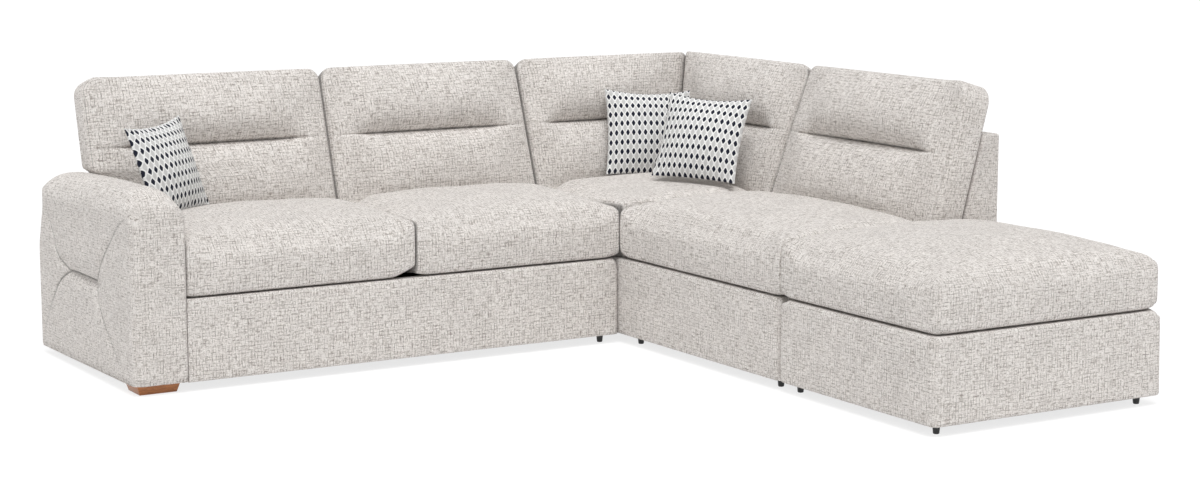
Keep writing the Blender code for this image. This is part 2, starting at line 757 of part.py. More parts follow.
def back_point(row_share, thickness_share):
    """The cage's s and z: thickness_share is 0 at the front seam and 1 on the back frame."""
    low = seat_height_at_back()
    lean = Vector((math.sin(RECLINE), math.cos(RECLINE)))
    out = Vector((-math.cos(RECLINE), math.sin(RECLINE)))
    rear_low = Vector((slope_at(low) - PIECE_GAP / math.cos(RECLINE), low))
    front_low = rear_low + Vector((-BACK_CUSHION_THICKNESS / math.cos(RECLINE), 0))
    top_drop = BACK_CUSHION_THICKNESS * math.sin(RECLINE)
    front_length = (BACK_CUSHION_TOP - low) / math.cos(RECLINE)
    rear_length = (BACK_CUSHION_TOP - top_drop - low) / math.cos(RECLINE)
    front = front_low + lean * front_length * row_share
    rear = rear_low + lean * rear_length * row_share
    return front.lerp(rear, thickness_share), out


def back_cushion(name, run, start, end, mitre_start=False, mitre_end=False, over_arm=False):
    tables = (BACK_WIDTH_SHARES, BACK_THICKNESS_SHARES, BACK_ROW_SHARES)
    bm = caged_cube(tables)
    first = start + BACK_CUSHION_GAP
    last = end - BACK_CUSHION_GAP
    for vert in bm.verts:
        u, t, h = vert.co
        point, out = back_point(h, t)
        if t == 0:
            row_crown = table_share(h, BACK_ROW_SHARES, BACK_ROW_CROWN_SHARES)
            crown = table_share(u, BACK_WIDTH_SHARES, BACK_COLUMN_CROWN_SHARES)
            crown *= BACK_CUSHION_CROWN * (row_crown or UNIT_CENTRE_SHARE)
            if row_crown == 0:
                crown -= BACK_CHANNEL_DEPTH * table_share(u, BACK_WIDTH_SHARES, BACK_CHANNEL_SHARES)
            point = point + out * crown
        left = first
        right = last
        if over_arm:
            left -= ARM_OVERHANG * table_share(h, BACK_ROW_SHARES, BACK_OVERHANG_SHARES)
        if mitre_start:
            left = -point.x + BACK_CUSHION_GAP
        if mitre_end:
            right = point.x - BACK_CUSHION_GAP
        vert.co = (left + (right - left) * u, point.x, point.y)
    look = finish(name + " weave", WEAVE, 0.9)
    cushion = add_object(name, mesh_of(bm, name), run, (0, 0, 0), look)
    soften(cushion, CUSHION_LEVELS)
    down = run.to_3x3() @ Vector((0, -math.sin(RECLINE), -math.cos(RECLINE)))
    drop = free_way(cushion, seats, down)
    if drop is not None:
        cushion.location += down * (drop - BACK_REST_GAP)
    return cushion


split = SEAT_WIDTH + LEFT_SPLIT_SHIFT
backs = [
    back_cushion("back_cushion_left", LEFT_RUN, 0, split, over_arm=True),
    back_cushion("back_cushion_middle", LEFT_RUN, split, 2 * SEAT_WIDTH),
    back_cushion("back_cushion_corner_left", CORNER_RUN, 0, SEAT_DEPTH, mitre_end=True),
    back_cushion("back_cushion_corner_right", RIGHT_RUN, -SEAT_DEPTH, WING_OVERLAP, mitre_start=True),
    back_cushion("back_cushion_right", RIGHT_RUN, WING_OVERLAP, END_SEAT_WIDTH),
]


# Arm: a rounded pad whose outer face has a pleat and four bowed seams


def seam_depth(s, z):
    """How far the outer face is drawn in at this place."""
    drawn = 0.0
    if PLEAT_FRONT <= s <= PLEAT_REAR:
        fade = math.exp(-(((z - PLEAT_HEIGHT) / ARM_PLEAT_WIDTH) ** 2))
        drawn = max(drawn, ARM_PLEAT_DEPTH * fade)
    for end, way in ((PLEAT_FRONT, -1), (PLEAT_REAR, 1)):
        for reach, up in ((SEAM_TOP_REACH, 1), (SEAM_BOTTOM_REACH, -1)):
            along = (s - end) * way / reach
            if not 0 <= along <= 1:
                continue
            seam_z = PLEAT_HEIGHT + up * reach * along * (SEAM_BOW_SHARE + (1 - SEAM_BOW_SHARE) * along)
            fade = math.exp(-(((z - seam_z) / ARM_SEAM_WIDTH) ** 2))
            drawn = max(drawn, ARM_SEAM_DEPTH * fade)
    return drawn


def corner_rounded(co):
    """Moves a point of the arm's upright edges in plan onto a round corner."""
    near = Vector((
        min(max(co.x, ARM_CORNER_ROUND), ARM_WIDTH - ARM_CORNER_ROUND),
        min(max(co.y, ARM_CORNER_ROUND), SOFA_DEPTH - ARM_CORNER_ROUND),
        co.z,
    ))
    off = co - near
    if off.x == 0 or off.y == 0:
        return co
    return near + off * (max(abs(off.x), abs(off.y)) / off.length)


def arm_top_drop(co):
    """How far the domed top lies below its crest at this place in plan."""
    side = min(co.x, ARM_WIDTH - co.x)
    over_side = max(0.0, 1 - side / ARM_SIDE_REACH)
    over_front = max(0.0, 1 - co.y / ARM_FRONT_REACH)
    over_rear = max(0.0, 1 - (SOFA_DEPTH - co.y) / ARM_REAR_REACH)
    full = 1.0
    for over in (over_side, over_front, over_rear):
        full *= math.sqrt(max(0.0, 1 - over ** 2))
    droop = ARM_REAR_DROOP * (co.y / SOFA_DEPTH) ** CROWN_POWER
    return droop + ARM_TOP_ROUND * (1 - full)


def arm_cover():
    middle = [step / ARM_CELLS_LONG for step in range(1, ARM_CELLS_LONG)]
    long_shares = [0, ARM_END_LOOP_SHARE] + middle + [1 - ARM_END_LOOP_SHARE, 1]
    high_shares = [step / ARM_CELLS_HIGH for step in range(ARM_CELLS_HIGH + 1)]
    bm = caged_cube((ARM_U_SHARES, long_shares, high_shares))
    height = ARM_HEIGHT - FOOT_HEIGHT
    for vert in bm.verts:
        u, s, h = vert.co
        co = corner_rounded(Vector((u * ARM_WIDTH, s * SOFA_DEPTH, 0)))
        if h == 1:
            co.z = height - arm_top_drop(co)
        else:
            co.z = h * (height - ARM_TOP_ROUND - ARM_REAR_DROOP * s ** CROWN_POWER)
        if u == 0:
            level = crown_share(s) * crown_share(h)
            co.x += ARM_OUTER_BULGE * (1 - level) * (1 - ARM_BULGE_KEEP_SHARE * h)
            co.x += seam_depth(co.y, co.z + FOOT_HEIGHT) * level
        vert.co = co
    look = finish("arm_cover weave", WEAVE, 0.9)
    arm_run = place(X_LEFT, Y_CORNER)
    cover = add_object("arm_cover", mesh_of(bm, "arm_cover"), arm_run, (0, 0, FOOT_HEIGHT), look)
    cavity_u = ARM_WIDTH - 2 * ARM_WALL
    cavity_s = SOFA_DEPTH - 2 * ARM_END_WALL
    cavity_z = height - ARM_TOP_ROUND - ARM_REAR_DROOP
    cutter = box(
        "arm hollow",
        (cavity_u, cavity_s, cavity_z + CUT_OVERRUN),
        arm_run,
        (ARM_WALL, ARM_END_WALL, FOOT_HEIGHT - CUT_OVERRUN),
        None,
        CUTTERS,
    )
    cut_with(cover, cutter)
    cover.data.shade_smooth()
    frame_size = (
        cavity_u - 2 * PIECE_GAP,
        cavity_s - 2 * PIECE_GAP,
        cavity_z - ARM_FRAME_SIDE_GAP,
    )
    frame_corner = (ARM_WALL + PIECE_GAP, ARM_END_WALL + PIECE_GAP, FOOT_HEIGHT)
    frame_look = finish("arm_frame timber", TIMBER, 0.7)
    frame = box("arm_frame", frame_size, arm_run, frame_corner, frame_look)
    window_pitch = frame_size[1] / ARM_WINDOW_COUNT
    window_size = (SOFA_DEPTH, window_pitch * ARM_WINDOW_SHARE, ARM_WINDOW_HEIGHT)
    bm = bmesh.new()
    for index in range(ARM_WINDOW_COUNT):
        window = bmesh.ops.create_cube(bm, size=1)
        bmesh.ops.scale(bm, verts=window["verts"], vec=window_size)
        middle_s = frame_corner[1] + (index + UNIT_CENTRE_SHARE) * window_pitch
        middle_z = FOOT_HEIGHT + ARM_WINDOW_RISE + ARM_WINDOW_HEIGHT / 2
        bmesh.ops.translate(bm, verts=window["verts"], vec=(0, middle_s, middle_z))
    window_mesh = mesh_of(bm, "arm windows")
    window_cutter = add_object("arm windows", window_mesh, arm_run, (0, 0, 0), None, CUTTERS)
    cut_with(frame, window_cutter)


arm_cover()


# Feet


def glide_foot(name, x, y):
    """A turned black glide: flange, tapered leg and rounded toe."""
    top = FOOT_HEIGHT - PIECE_GAP
    under_flange = top - GLIDE_FLANGE_HEIGHT
    profile = [
        (0, top),
        (GLIDE_FLANGE_RADIUS, top),
        (GLIDE_FLANGE_RADIUS, under_flange),
        (GLIDE_RADIUS, under_flange),
        (GLIDE_TOE_RADIUS, GLIDE_TOE_ROUND),
        (GLIDE_TOE_RADIUS - GLIDE_TOE_ROUND, 0),
        (0, 0),
    ]
    mesh = bpy.data.meshes.new(name)
    edges = [(index, index + 1) for index in range(len(profile) - 1)]
    mesh.from_pydata([(radius, 0, z) for radius, z in profile], edges, [])
    look = finish(name + " plastic", BLACK, 0.45)
    foot = add_object(name, mesh, place(x, y), (0, 0, 0), look)
    turn = foot.modifiers.new("turned", "SCREW")
    turn.steps = GLIDE_SIDES
    turn.render_steps = GLIDE_SIDES
    turn.use_merge_vertices = True
    turn.merge_threshold = PIECE_GAP / 10
    turn.use_smooth_shade = True
    return foot


def block_foot(name):
    """The tapered oak block under the arm's front."""
    bm = unit_cube()
    height = FOOT_HEIGHT - PIECE_GAP
    for vert in bm.verts:
        u, s, h = vert.co
        inset = BLOCK_TAPER * (1 - h)
        co_u = inset + u * (BLOCK_TOP_WIDTH - 2 * inset)
        co_s = inset + s * (BLOCK_TOP_DEPTH - 2 * inset)
        vert.co = (co_u, co_s, h * height)
    upright = [edge for edge in bm.edges if abs(edge.verts[0].co.z - edge.verts[1].co.z) > PIECE_GAP]
    bmesh.ops.bevel(
        bm, geom=upright, offset=BLOCK_ROUND, segments=BACK_ROUND_STEPS, profile=ROUND_PROFILE_SHARE, affect="EDGES"
    )
    look = finish(name + " oak", OAK, 0.4)
    corner = ((ARM_WIDTH - BLOCK_TOP_WIDTH) / 2, BLOCK_INSET, 0)
    return add_object(name, mesh_of(bm, name), place(X_LEFT, Y_CORNER), corner, look)


block_foot("wooden_block_foot")
glides = (
    ("glide_foot_left_front", X_JOIN - FOOT_INSET, Y_CORNER + FOOT_INSET),
    ("glide_foot_left_rear", X_JOIN - FOOT_INSET, Y_BACK - FOOT_INSET),
    ("glide_foot_arm_rear", X_ARM + FOOT_INSET, Y_BACK - FOOT_INSET),
    ("glide_foot_right_middle", X_CORNER + FOOT_INSET, Y_CORNER - FOOT_INSET),
    ("glide_foot_right_front", X_CORNER + FOOT_INSET, Y_END + FOOT_INSET),
    ("glide_foot_right_end", X_RIGHT - FOOT_INSET, Y_END + FOOT_INSET),
    ("glide_foot_right_rear", X_RIGHT - FOOT_INSET, Y_BACK - FOOT_INSET),
    ("glide_foot_corner_rear", X_CORNER + FOOT_INSET, Y_BACK - FOOT_INSET),
    ("glide_foot_stool_front_left", X_CORNER + FOOT_INSET, Y_FRONT + FOOT_INSET),
    ("glide_foot_stool_front_right", X_RIGHT - FOOT_INSET, Y_FRONT + FOOT_INSET),
    ("glide_foot_stool_rear_left", X_CORNER + FOOT_INSET, Y_STOOL - FOOT_INSET),
    ("glide_foot_stool_rear_right", X_RIGHT - FOOT_INSET, Y_STOOL - FOOT_INSET),
)
for glide_name, glide_x, glide_y in glides:
    glide_foot(glide_name, glide_x, glide_y)


# Scatter cushions, each set down on the seat below it


def scatter_cushion(name, x, y, azimuth, lean, roll):
    """A square knife-edged pillow. Its front faces azimuth degrees from -Y towards +X."""
    bm = caged_cube((SCATTER_SHARES, (0, 1), SCATTER_SHARES))
    for vert in bm.verts:
        u, w, v = vert.co
        side_u = 2 * u - 1
        side_v = 2 * v - 1
        fill = crown_share(u) * crown_share(v)
        thickness = SCATTER_SEAM_THICKNESS + (SCATTER_THICKNESS - SCATTER_SEAM_THICKNESS) * fill
        draw_u = SCATTER_DRAW_IN * crown_share(v) * side_u
        draw_v = SCATTER_DRAW_IN * crown_share(u) * side_v
        half = SCATTER_SIZE / 2
        vert.co = (side_u * half - draw_u, (w - UNIT_CENTRE_SHARE) * thickness, side_v * half - draw_v)
    look = finish(name + " print", PATTERN, 0.85)
    turn = Matrix.Rotation(math.radians(azimuth), 4, "Z")
    tilt = Matrix.Rotation(-math.radians(lean), 4, "X")
    spin = Matrix.Rotation(-math.radians(roll), 4, "Y")
    run = Matrix.Translation((x, y, SCATTER_HEIGHT)) @ turn @ tilt @ spin
    cushion = add_object(name, mesh_of(bm, name), run, (0, 0, 0), look)
    soften(cushion, CUSHION_LEVELS)
    down = Vector((0, 0, -1))
    drop = free_way(cushion, seats, down)
    if drop is not None:
        cushion.location += down * (drop - SCATTER_REST_GAP)
    return cushion


SCATTER_BACK = Y_CORNER + SEAT_DEPTH
SCATTER_WING = X_CORNER + SEAT_DEPTH
scatter_cushion(
    "scatter_cushion_arm",
    X_ARM + ARM_SCATTER_FROM_ARM,
    SCATTER_BACK - ARM_SCATTER_FROM_BACK,
    33.7,
    19,
    3.4,
)
scatter_cushion(
    "scatter_cushion_corner_left",
    SCATTER_WING - LEFT_SCATTER_FROM_WING,
    SCATTER_BACK - LEFT_SCATTER_FROM_BACK,
    -19.5,
    15.7,
    -1.9,
)
scatter_cushion(
    "scatter_cushion_corner_right",
    SCATTER_WING - RIGHT_SCATTER_FROM_WING,
    SCATTER_BACK - RIGHT_SCATTER_FROM_BACK,
    -58.8,
    25,
    -2.2,
)
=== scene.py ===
"""Fabric corner sofa with a chaise end and a footstool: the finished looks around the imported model.

Metres, +Z up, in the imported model's frame. Each upholstered piece is a grid block whose loops are moved
into a padded form in a run's own frame: u along the run, s from the front face back, z up.
"""

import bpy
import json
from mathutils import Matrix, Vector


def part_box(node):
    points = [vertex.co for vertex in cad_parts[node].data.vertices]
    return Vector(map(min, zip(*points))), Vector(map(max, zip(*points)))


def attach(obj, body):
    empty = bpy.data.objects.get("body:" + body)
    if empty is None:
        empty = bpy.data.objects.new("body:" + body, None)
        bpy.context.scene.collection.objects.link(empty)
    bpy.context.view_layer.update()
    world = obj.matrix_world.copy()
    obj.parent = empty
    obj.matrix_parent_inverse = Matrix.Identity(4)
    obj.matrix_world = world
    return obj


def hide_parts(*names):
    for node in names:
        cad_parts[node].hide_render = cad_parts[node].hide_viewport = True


bl_info = {
    "name": "Corner sofa upholstery",
    "version": (1, 0, 0),
    "blender": (4, 5, 0),
    "location": "View3D > Sidebar > Sofa",
    "description": "Upholsters the packed corner sofa and sets its stage",
    "category": "Object",
}

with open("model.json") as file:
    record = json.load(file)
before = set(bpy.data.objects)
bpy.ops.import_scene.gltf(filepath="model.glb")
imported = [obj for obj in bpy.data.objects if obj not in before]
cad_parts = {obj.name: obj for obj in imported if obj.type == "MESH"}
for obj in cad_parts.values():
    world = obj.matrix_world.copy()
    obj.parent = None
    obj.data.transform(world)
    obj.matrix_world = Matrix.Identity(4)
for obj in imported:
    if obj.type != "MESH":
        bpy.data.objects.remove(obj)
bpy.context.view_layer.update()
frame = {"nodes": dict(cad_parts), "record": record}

import json
import math

import bmesh
import bpy
from mathutils import Matrix, Vector, noise

BODY = "root"
QUARTER = math.pi / 2

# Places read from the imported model
LONG_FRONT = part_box("left_front_border")
WING_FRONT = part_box("right_front_border")
STOOL_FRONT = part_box("footstool_front_border")
STOOL_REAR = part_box("footstool_rear_border")
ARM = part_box("arm_cover")
LONG_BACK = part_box("left_back_cover")
FOOT_TOP = LONG_FRONT[0].z
BASE_TOP = LONG_FRONT[1].z
X_LEFT = ARM[0].x
X_ARM = LONG_FRONT[0].x
X_JOIN = LONG_FRONT[1].x
X_CORNER = WING_FRONT[0].x
Y_FRONT = STOOL_FRONT[0].y
Y_STOOL = STOOL_REAR[1].y
Y_END = WING_FRONT[0].y
Y_CORNER = LONG_FRONT[0].y
Y_BACK = LONG_BACK[1].y
SOFA_DEPTH = Y_BACK - Y_CORNER
END_WIDTH = Y_CORNER - Y_END
STOOL_LENGTH = Y_STOOL - Y_FRONT
SEAT_WIDTH = (X_JOIN - X_ARM) / 2
PANEL = LONG_FRONT[1].y - LONG_FRONT[0].y
BASE_HEIGHT = BASE_TOP - FOOT_TOP
BACK_TOP = LONG_BACK[1].z

# Build places that the boxes don't give
RECLINE = math.radians(15)
LEAN = math.tan(RECLINE)
SEAT_DEPTH = 0.717
# What two back cushions, and two panels, keep free of each other on each side of their joint
GAP = 0.0012
HAIR = 0.0003
CAMERA_AT = (-4.0600, -6.8679, 1.6598)
CAMERA_TILT = math.radians(8.5901)
CAMERA_TURN = math.radians(31.2692)


def place(x, y, angle=0.0):
    """A run's frame on the floor: at angle 0, u is +X and s is +Y."""
    return Matrix.Translation((x, y, 0)) @ Matrix.Rotation(angle, 4, "Z")


ARM_RUN = place(X_LEFT, Y_CORNER)
LONG_RUN = place(X_ARM, Y_CORNER)
CORNER_RUN = place(X_CORNER, Y_CORNER)
WING_RUN = place(X_CORNER, Y_CORNER, -QUARTER)
STOOL_RUN = place(X_CORNER, Y_STOOL, -QUARTER)


# Sizes and colours that a user would change


def length(name, what, value):
    return bpy.props.FloatProperty(
        name=name, description=what, default=value, min=0.0, unit="LENGTH", precision=4
    )


def colour(name, what, value):
    return bpy.props.FloatVectorProperty(
        name=name, description=what, default=value, size=3, min=0.0, max=1.0, subtype="COLOR"
    )


class SofaSizes(bpy.types.PropertyGroup):
    """Padding, seams and pattern sizes."""

    seat_crown: length("Seat crown", "How far a seat's middle rises above its edges", 0.062)
    stool_crown: length("Footstool crown", "How far the footstool's middle rises above its edges", 0.063)
    seat_roll: length("Seat roll", "Reach of the soft roll from a seat's top down its front", 0.085)
    seat_bulge: length("Seat bulge", "How far a seat's free sides swell", 0.007)
    back_crown: length("Back crown", "How far each pillow of a back cushion stands forward", 0.064)
    channel_depth: length("Channel depth", "Depth of the sewn channel between the two pillows", 0.009)
    seam_depth: length("Seam depth", "Depth of a sewn seam", 0.0032)
    seam_width: length("Seam width", "Half the width of a sewn seam's valley", 0.0060)
    arm_bulge: length("Arm bulge", "How far the arm's outer face swells", 0.003)
    pleat_depth: length("Pleat depth", "Depth of the fold in the arm's outer face", 0.024)
    thread_pitch: length("Thread pitch", "Distance between the tweed's threads", 0.0027)
    print_column: length("Print column", "Distance between the print's columns of lozenges", 0.0226)
    print_row: length("Print row", "Distance between the print's rows of lozenges", 0.0365)


class SofaColours(bpy.types.PropertyGroup):
    """Colours of the cloths, woods and plastics."""

    weave_light: colour("Weave light", "Light yarn of the tweed", (0.95, 0.914, 0.880))
    weave_mid: colour("Weave mid", "Middle yarn of the tweed", (0.86, 0.812, 0.770))
    weave_slub: colour("Weave slub", "Dark slubs of the tweed", (0.25, 0.208, 0.180))
    print_ground: colour("Print ground", "Ground of the scatter cushions", (0.80, 0.80, 0.79))
    print_dark: colour("Print dark", "Dark lozenges", (0.012, 0.014, 0.028))
    print_grey: colour("Print grey", "Pale lozenges", (0.52, 0.52, 0.515))
    oak: colour("Oak", "Block foot", (0.44, 0.155, 0.038))
    timber: colour("Frame timber", "Rails and boards", (0.62, 0.48, 0.31))
    plastic: colour("Glides", "Black feet", (0.012, 0.012, 0.013))
    steel: colour("Springs", "Spring wire", (0.42, 0.43, 0.45))
    felt: colour("Dust cover", "Black cloth under each module", (0.018, 0.018, 0.019))


# Materials


class Finish:
    """A material and short ways to add its nodes."""

    def __init__(self, name, roughness, **sockets):
        self.material = bpy.data.materials.new(name)
        self.material.use_nodes = True
        self.tree = self.material.node_tree
        self.shader = self.tree.nodes["Principled BSDF"]
        self.shader.inputs["Roughness"].default_value = roughness
        for socket, value in sockets.items():
            self.shader.inputs[socket.replace("_", " ")].default_value = value

    def node(self, kind, links=(), values=(), **settings):
        made = self.tree.nodes.new(kind)
        for setting, value in settings.items():
            setattr(made, setting, value)
        for socket, value in values:
            made.inputs[socket].default_value = value
        for socket, source in links:
            self.tree.links.new(source, made.inputs[socket])
        return made

    def maths(self, operation, *terms):
        made = self.node("ShaderNodeMath", operation=operation)
        for index, term in enumerate(terms):
            if isinstance(term, (int, float)):
                made.inputs[index].default_value = term
            else:
                self.tree.links.new(term, made.inputs[index])
        return made.outputs[0]

    def plus(self, first, second):
        return self.maths("ADD", first, second)

    def times(self, first, second):
        return self.maths("MULTIPLY", first, second)

    def wave(self, source, turn):
        return self.maths("SINE", self.times(source, turn))

    def apart(self, vector):
        return self.node("ShaderNodeSeparateXYZ", [("Vector", vector)]).outputs

    def coordinates(self, kind):
        return self.node("ShaderNodeTexCoord").outputs[kind]

    def scaled(self, vector, scale, shift=(0, 0, 0)):
        values = [("Location", shift), ("Scale", scale)]
        return self.node("ShaderNodeMapping", [("Vector", vector)], values).outputs[0]

    def noise(self, vector, scale, detail=2.0, roughness=0.5, flat=True):
        values = [("Scale", scale), ("Detail", detail), ("Roughness", roughness)]
        dimensions = "2D" if flat else "3D"
        made = self.node("ShaderNodeTexNoise", [("Vector", vector)], values, noise_dimensions=dimensions)
        return made.outputs["Fac"]

    def range(self, value, low, high, to_low=0.0, to_high=1.0):
        values = [("From Min", low), ("From Max", high), ("To Min", to_low), ("To Max", to_high)]
        return self.node("ShaderNodeMapRange", [("Value", value)], values).outputs[0]

    def mix(self, share, first, second, blend="MIX"):
        made = self.node("ShaderNodeMix", data_type="RGBA", blend_type=blend)
        for index, term in ((0, share), (6, first), (7, second)):
            if isinstance(term, (int, float)):
                made.inputs[index].default_value = term
            elif isinstance(term, bpy.types.NodeSocket):
                self.tree.links.new(term, made.inputs[index])
            else:
                made.inputs[index].default_value = (*term, 1.0)
        return made.outputs[2]

    def feed(self, socket, source):
        self.tree.links.new(source, self.shader.inputs[socket])

    def bump(self, height, distance, strength):
        values = [("Strength", strength), ("Distance", distance)]
        self.feed("Normal", self.node("ShaderNodeBump", [("Height", height)], values).outputs[0])


# How fast a yarn's tone changes along it, that change's share of the tone, and its shift
YARN_TONES = ((9.0, 0.20, 1.3), (38.0, 0.46, 3.1), (115.0, 0.34, 7.7))


def tweed(sizes, colours):
    """Chunky plain weave: uneven yarns both ways, dark slubs along them and knots where they cross."""
    made = Finish("tweed", 0.92, Sheen_Weight=0.22, Sheen_Roughness=0.5, Specular_IOR_Level=0.15)
    cloth = made.coordinates("UV")
    drift = made.node("ShaderNodeTexNoise", [("Vector", cloth)], [("Scale", 24.0), ("Detail", 2.0)])
    links, values = [(0, drift.outputs["Color"]), (2, cloth)], [(1, (0.004, 0.004, 0))]
    loose = made.node("ShaderNodeVectorMath", links, values, operation="MULTIPLY_ADD").outputs[0]
    apart = made.apart(loose)
    yarns = []
    for axis in (0, 1):
        tones = []
        for pace, share, shift in YARN_TONES:
            scale = [1.35 / sizes.thread_pitch] * 3
            scale[axis] = pace
            spread = made.scaled(loose, scale, (shift + 5.0 * axis, shift, 0))
            tones.append(made.times(made.noise(spread, 1.0, 0.0), share))
        yarns.append(made.plus(made.plus(*tones[:2]), tones[2]))
    turn = math.pi / (0.62 * sizes.thread_pitch)
    crossing = made.times(made.wave(apart[0], turn), made.wave(apart[1], turn))
    knots = made.maths("POWER", made.maths("ABSOLUTE", crossing), 0.45)
    over = made.range(crossing, -0.25, 0.25, 0.34, 0.66)
    under = made.maths("SUBTRACT", 1.0, over)
    tone = made.plus(made.times(yarns[0], over), made.times(yarns[1], under))
    fleck = made.noise(cloth, 400.0, 1.0, 0.6)
    patch = made.noise(cloth, 9.0, 2.0, 0.5)
    pale = made.mix(made.range(tone, 0.40, 0.56), colours.weave_light, colours.weave_mid)
    turn = 2 * math.pi / (4.2 * sizes.thread_pitch)
    slubs = []
    for axis in (0, 1):
        pick = made.range(made.wave(apart[1 - axis], turn), -0.3, 0.8, -0.095, 0.035)
        slubs.append(made.range(made.plus(yarns[axis], pick), 0.515, 0.650, 0.0, 0.68))
    slub = made.times(made.maths("MAXIMUM", *slubs), made.range(fleck, 0.36, 0.60, 0.35, 1.15))
    dyed = made.mix(made.plus(slub, made.range(tone, 0.46, 0.60, 0.0, 0.28)), pale, colours.weave_slub)
    lit = made.plus(made.range(fleck, 0.30, 0.70, 0.86, 1.14), made.range(patch, 0.3, 0.7, 0.03, -0.03))
    # Painted shade: the colour darkens along the low lines between the raised knots
    lit = made.times(lit, made.range(knots, 0.0, 0.8, 0.86, 1.0))
    # Painted shade from the pieces' layer: the colour darkens, down to 0.40, along seams, the arm's pleat and
    # the back cushions' channels, in the slots between cushions and on the free back cushion's rear rim
    sewn = made.node("ShaderNodeAttribute", attribute_name="painted_shade").outputs["Fac"]
    lit = made.times(lit, made.range(sewn, 0.0, 1.0, 1.0, 0.40))
    made.feed("Base Color", made.mix(1.0, dyed, lit, "MULTIPLY"))
    raised = made.maths("MULTIPLY_ADD", fleck, 0.5, made.maths("MULTIPLY_ADD", slub, -0.5, knots))
    made.bump(raised, 0.0010, 0.8)
    return made.material


PRINT_THREAD = 0.0011


def lozenge_print(sizes, colours):
    """Off-white cloth with upright dark lozenges, each edged in white, and pale grey ones between."""
    made = Finish("lozenge_print", 0.85, Sheen_Weight=0.08, Specular_IOR_Level=0.2)
    cloth = made.coordinates("UV")
    apart = made.apart(cloth)

    def lozenge(shift, half_width, half_height):
        """One on the outline of each lozenge, less inside it and more outside."""
        terms = []
        for index, pitch, half in ((0, sizes.print_column, half_width), (1, sizes.print_row, half_height)):
            cell = made.plus(made.maths("DIVIDE", apart[index], pitch), shift)
            off = made.maths("SUBTRACT", made.maths("FRACT", cell), 0.5)
            far = made.times(made.maths("ABSOLUTE", off), pitch / half)
            terms.append(made.maths("POWER", far, 1.30))
        return made.plus(*terms)

    dark = lozenge(0.0, 0.0071, 0.0120)
    grey = lozenge(0.5, 0.0075, 0.0150)
    thread = made.noise(made.scaled(cloth, (900, 240, 1)), 1.0, 2.0)
    grey_share = made.times(made.range(grey, 1.05, 0.80), made.range(thread, 0.35, 0.65, 0.55, 1.0))
    ground = made.mix(grey_share, colours.print_ground, colours.print_grey)
    ground = made.mix(made.range(dark, 1.55, 1.40), ground, (0.90, 0.90, 0.89))
    inked = made.mix(made.range(dark, 1.04, 0.96), ground, colours.print_dark)
    shade = made.range(thread, 0.3, 0.7, 0.93, 1.05)
    made.feed("Base Color", made.mix(1.0, inked, shade, "MULTIPLY"))
    turn = math.pi / PRINT_THREAD
    knots = made.maths("ABSOLUTE", made.times(made.wave(apart[0], turn), made.wave(apart[1], turn)))
    made.bump(made.plus(knots, made.times(thread, 0.8)), 0.0004, 0.7)
    return made.material


def grained_wood(name, tint, grain, roughness, coat=0.0):
    """Wood with its grain along the axis whose scale is least."""
    made = Finish(name, roughness, Coat_Weight=coat, Coat_Roughness=0.25)
    where = made.scaled(made.coordinates("Object"), grain)
    bent = made.noise(where, 1.4, 3.0, 0.55, flat=False)
    fibre = made.noise(made.scaled(where, (5, 5, 5)), 4.0, 3.0, 0.6, flat=False)
    rings = made.wave(bent, 42.0)
    dark = [0.52 * part for part in tint]
    bands = made.mix(made.range(rings, -0.6, 1.0, 0.0, 0.55), tint, dark)
    lit = made.range(fibre, 0.3, 0.7, 0.80, 1.12)
    made.feed("Base Color", made.mix(1.0, bands, lit, "MULTIPLY"))
    made.feed("Roughness", made.range(fibre, 0.3, 0.7, roughness - 0.08, roughness + 0.10))
    made.bump(fibre, 0.0005, 0.5)
    return made.material


def moulded_plastic(colours):
    """Black plastic with a fine moulded grain."""
    made = Finish("black_moulding", 0.42, Specular_IOR_Level=0.5)
    where = made.coordinates("Object")
    grain = made.noise(where, 900.0, 2.0, flat=False)
    worn = made.noise(where, 60.0, 3.0, flat=False)
    made.feed("Base Color", made.mix(made.range(worn, 0.4, 0.7), colours.plastic, (0.03, 0.03, 0.031)))
    made.feed("Roughness", made.range(worn, 0.3, 0.7, 0.36, 0.55))
    made.bump(grain, 0.0002, 0.4)
    return made.material


def spring_wire(colours):
    """Drawn steel wire with dull scale on it."""
    made = Finish("spring_wire", 0.36, Metallic=1.0)
    where = made.coordinates("Object")
    scale = made.noise(where, 35.0, 4.0, 0.6, flat=False)
    made.feed("Base Color", made.mix(made.range(scale, 0.4, 0.7), colours.steel, (0.20, 0.19, 0.18)))
    made.feed("Roughness", made.range(scale, 0.3, 0.7, 0.28, 0.55))
    made.bump(made.noise(where, 700.0, 1.0, flat=False), 0.0002, 0.3)
    return made.material


# Radians per metre: a dot each 4 mm
FELT_DOTS = 1570.0


def spun_felt(colours):
    """Thin black cloth of spun fibres, pressed in rows of dots."""
    made = Finish("spun_felt", 0.95, Specular_IOR_Level=0.15)
    where = made.coordinates("Object")
    fibres = made.noise(where, 480.0, 4.0, 0.7, flat=False)
    apart = made.apart(where)
    dots = made.times(made.wave(apart[0], FELT_DOTS), made.wave(apart[1], FELT_DOTS))
    pressed = made.range(dots, 0.5, 0.9)
    pale = [2.4 * part for part in colours.felt]
    made.feed("Base Color", made.mix(made.range(fibres, 0.35, 0.7), colours.felt, pale))
    made.bump(made.maths("SUBTRACT", fibres, pressed), 0.0004, 0.6)
    return made.material


FINISHES = {}


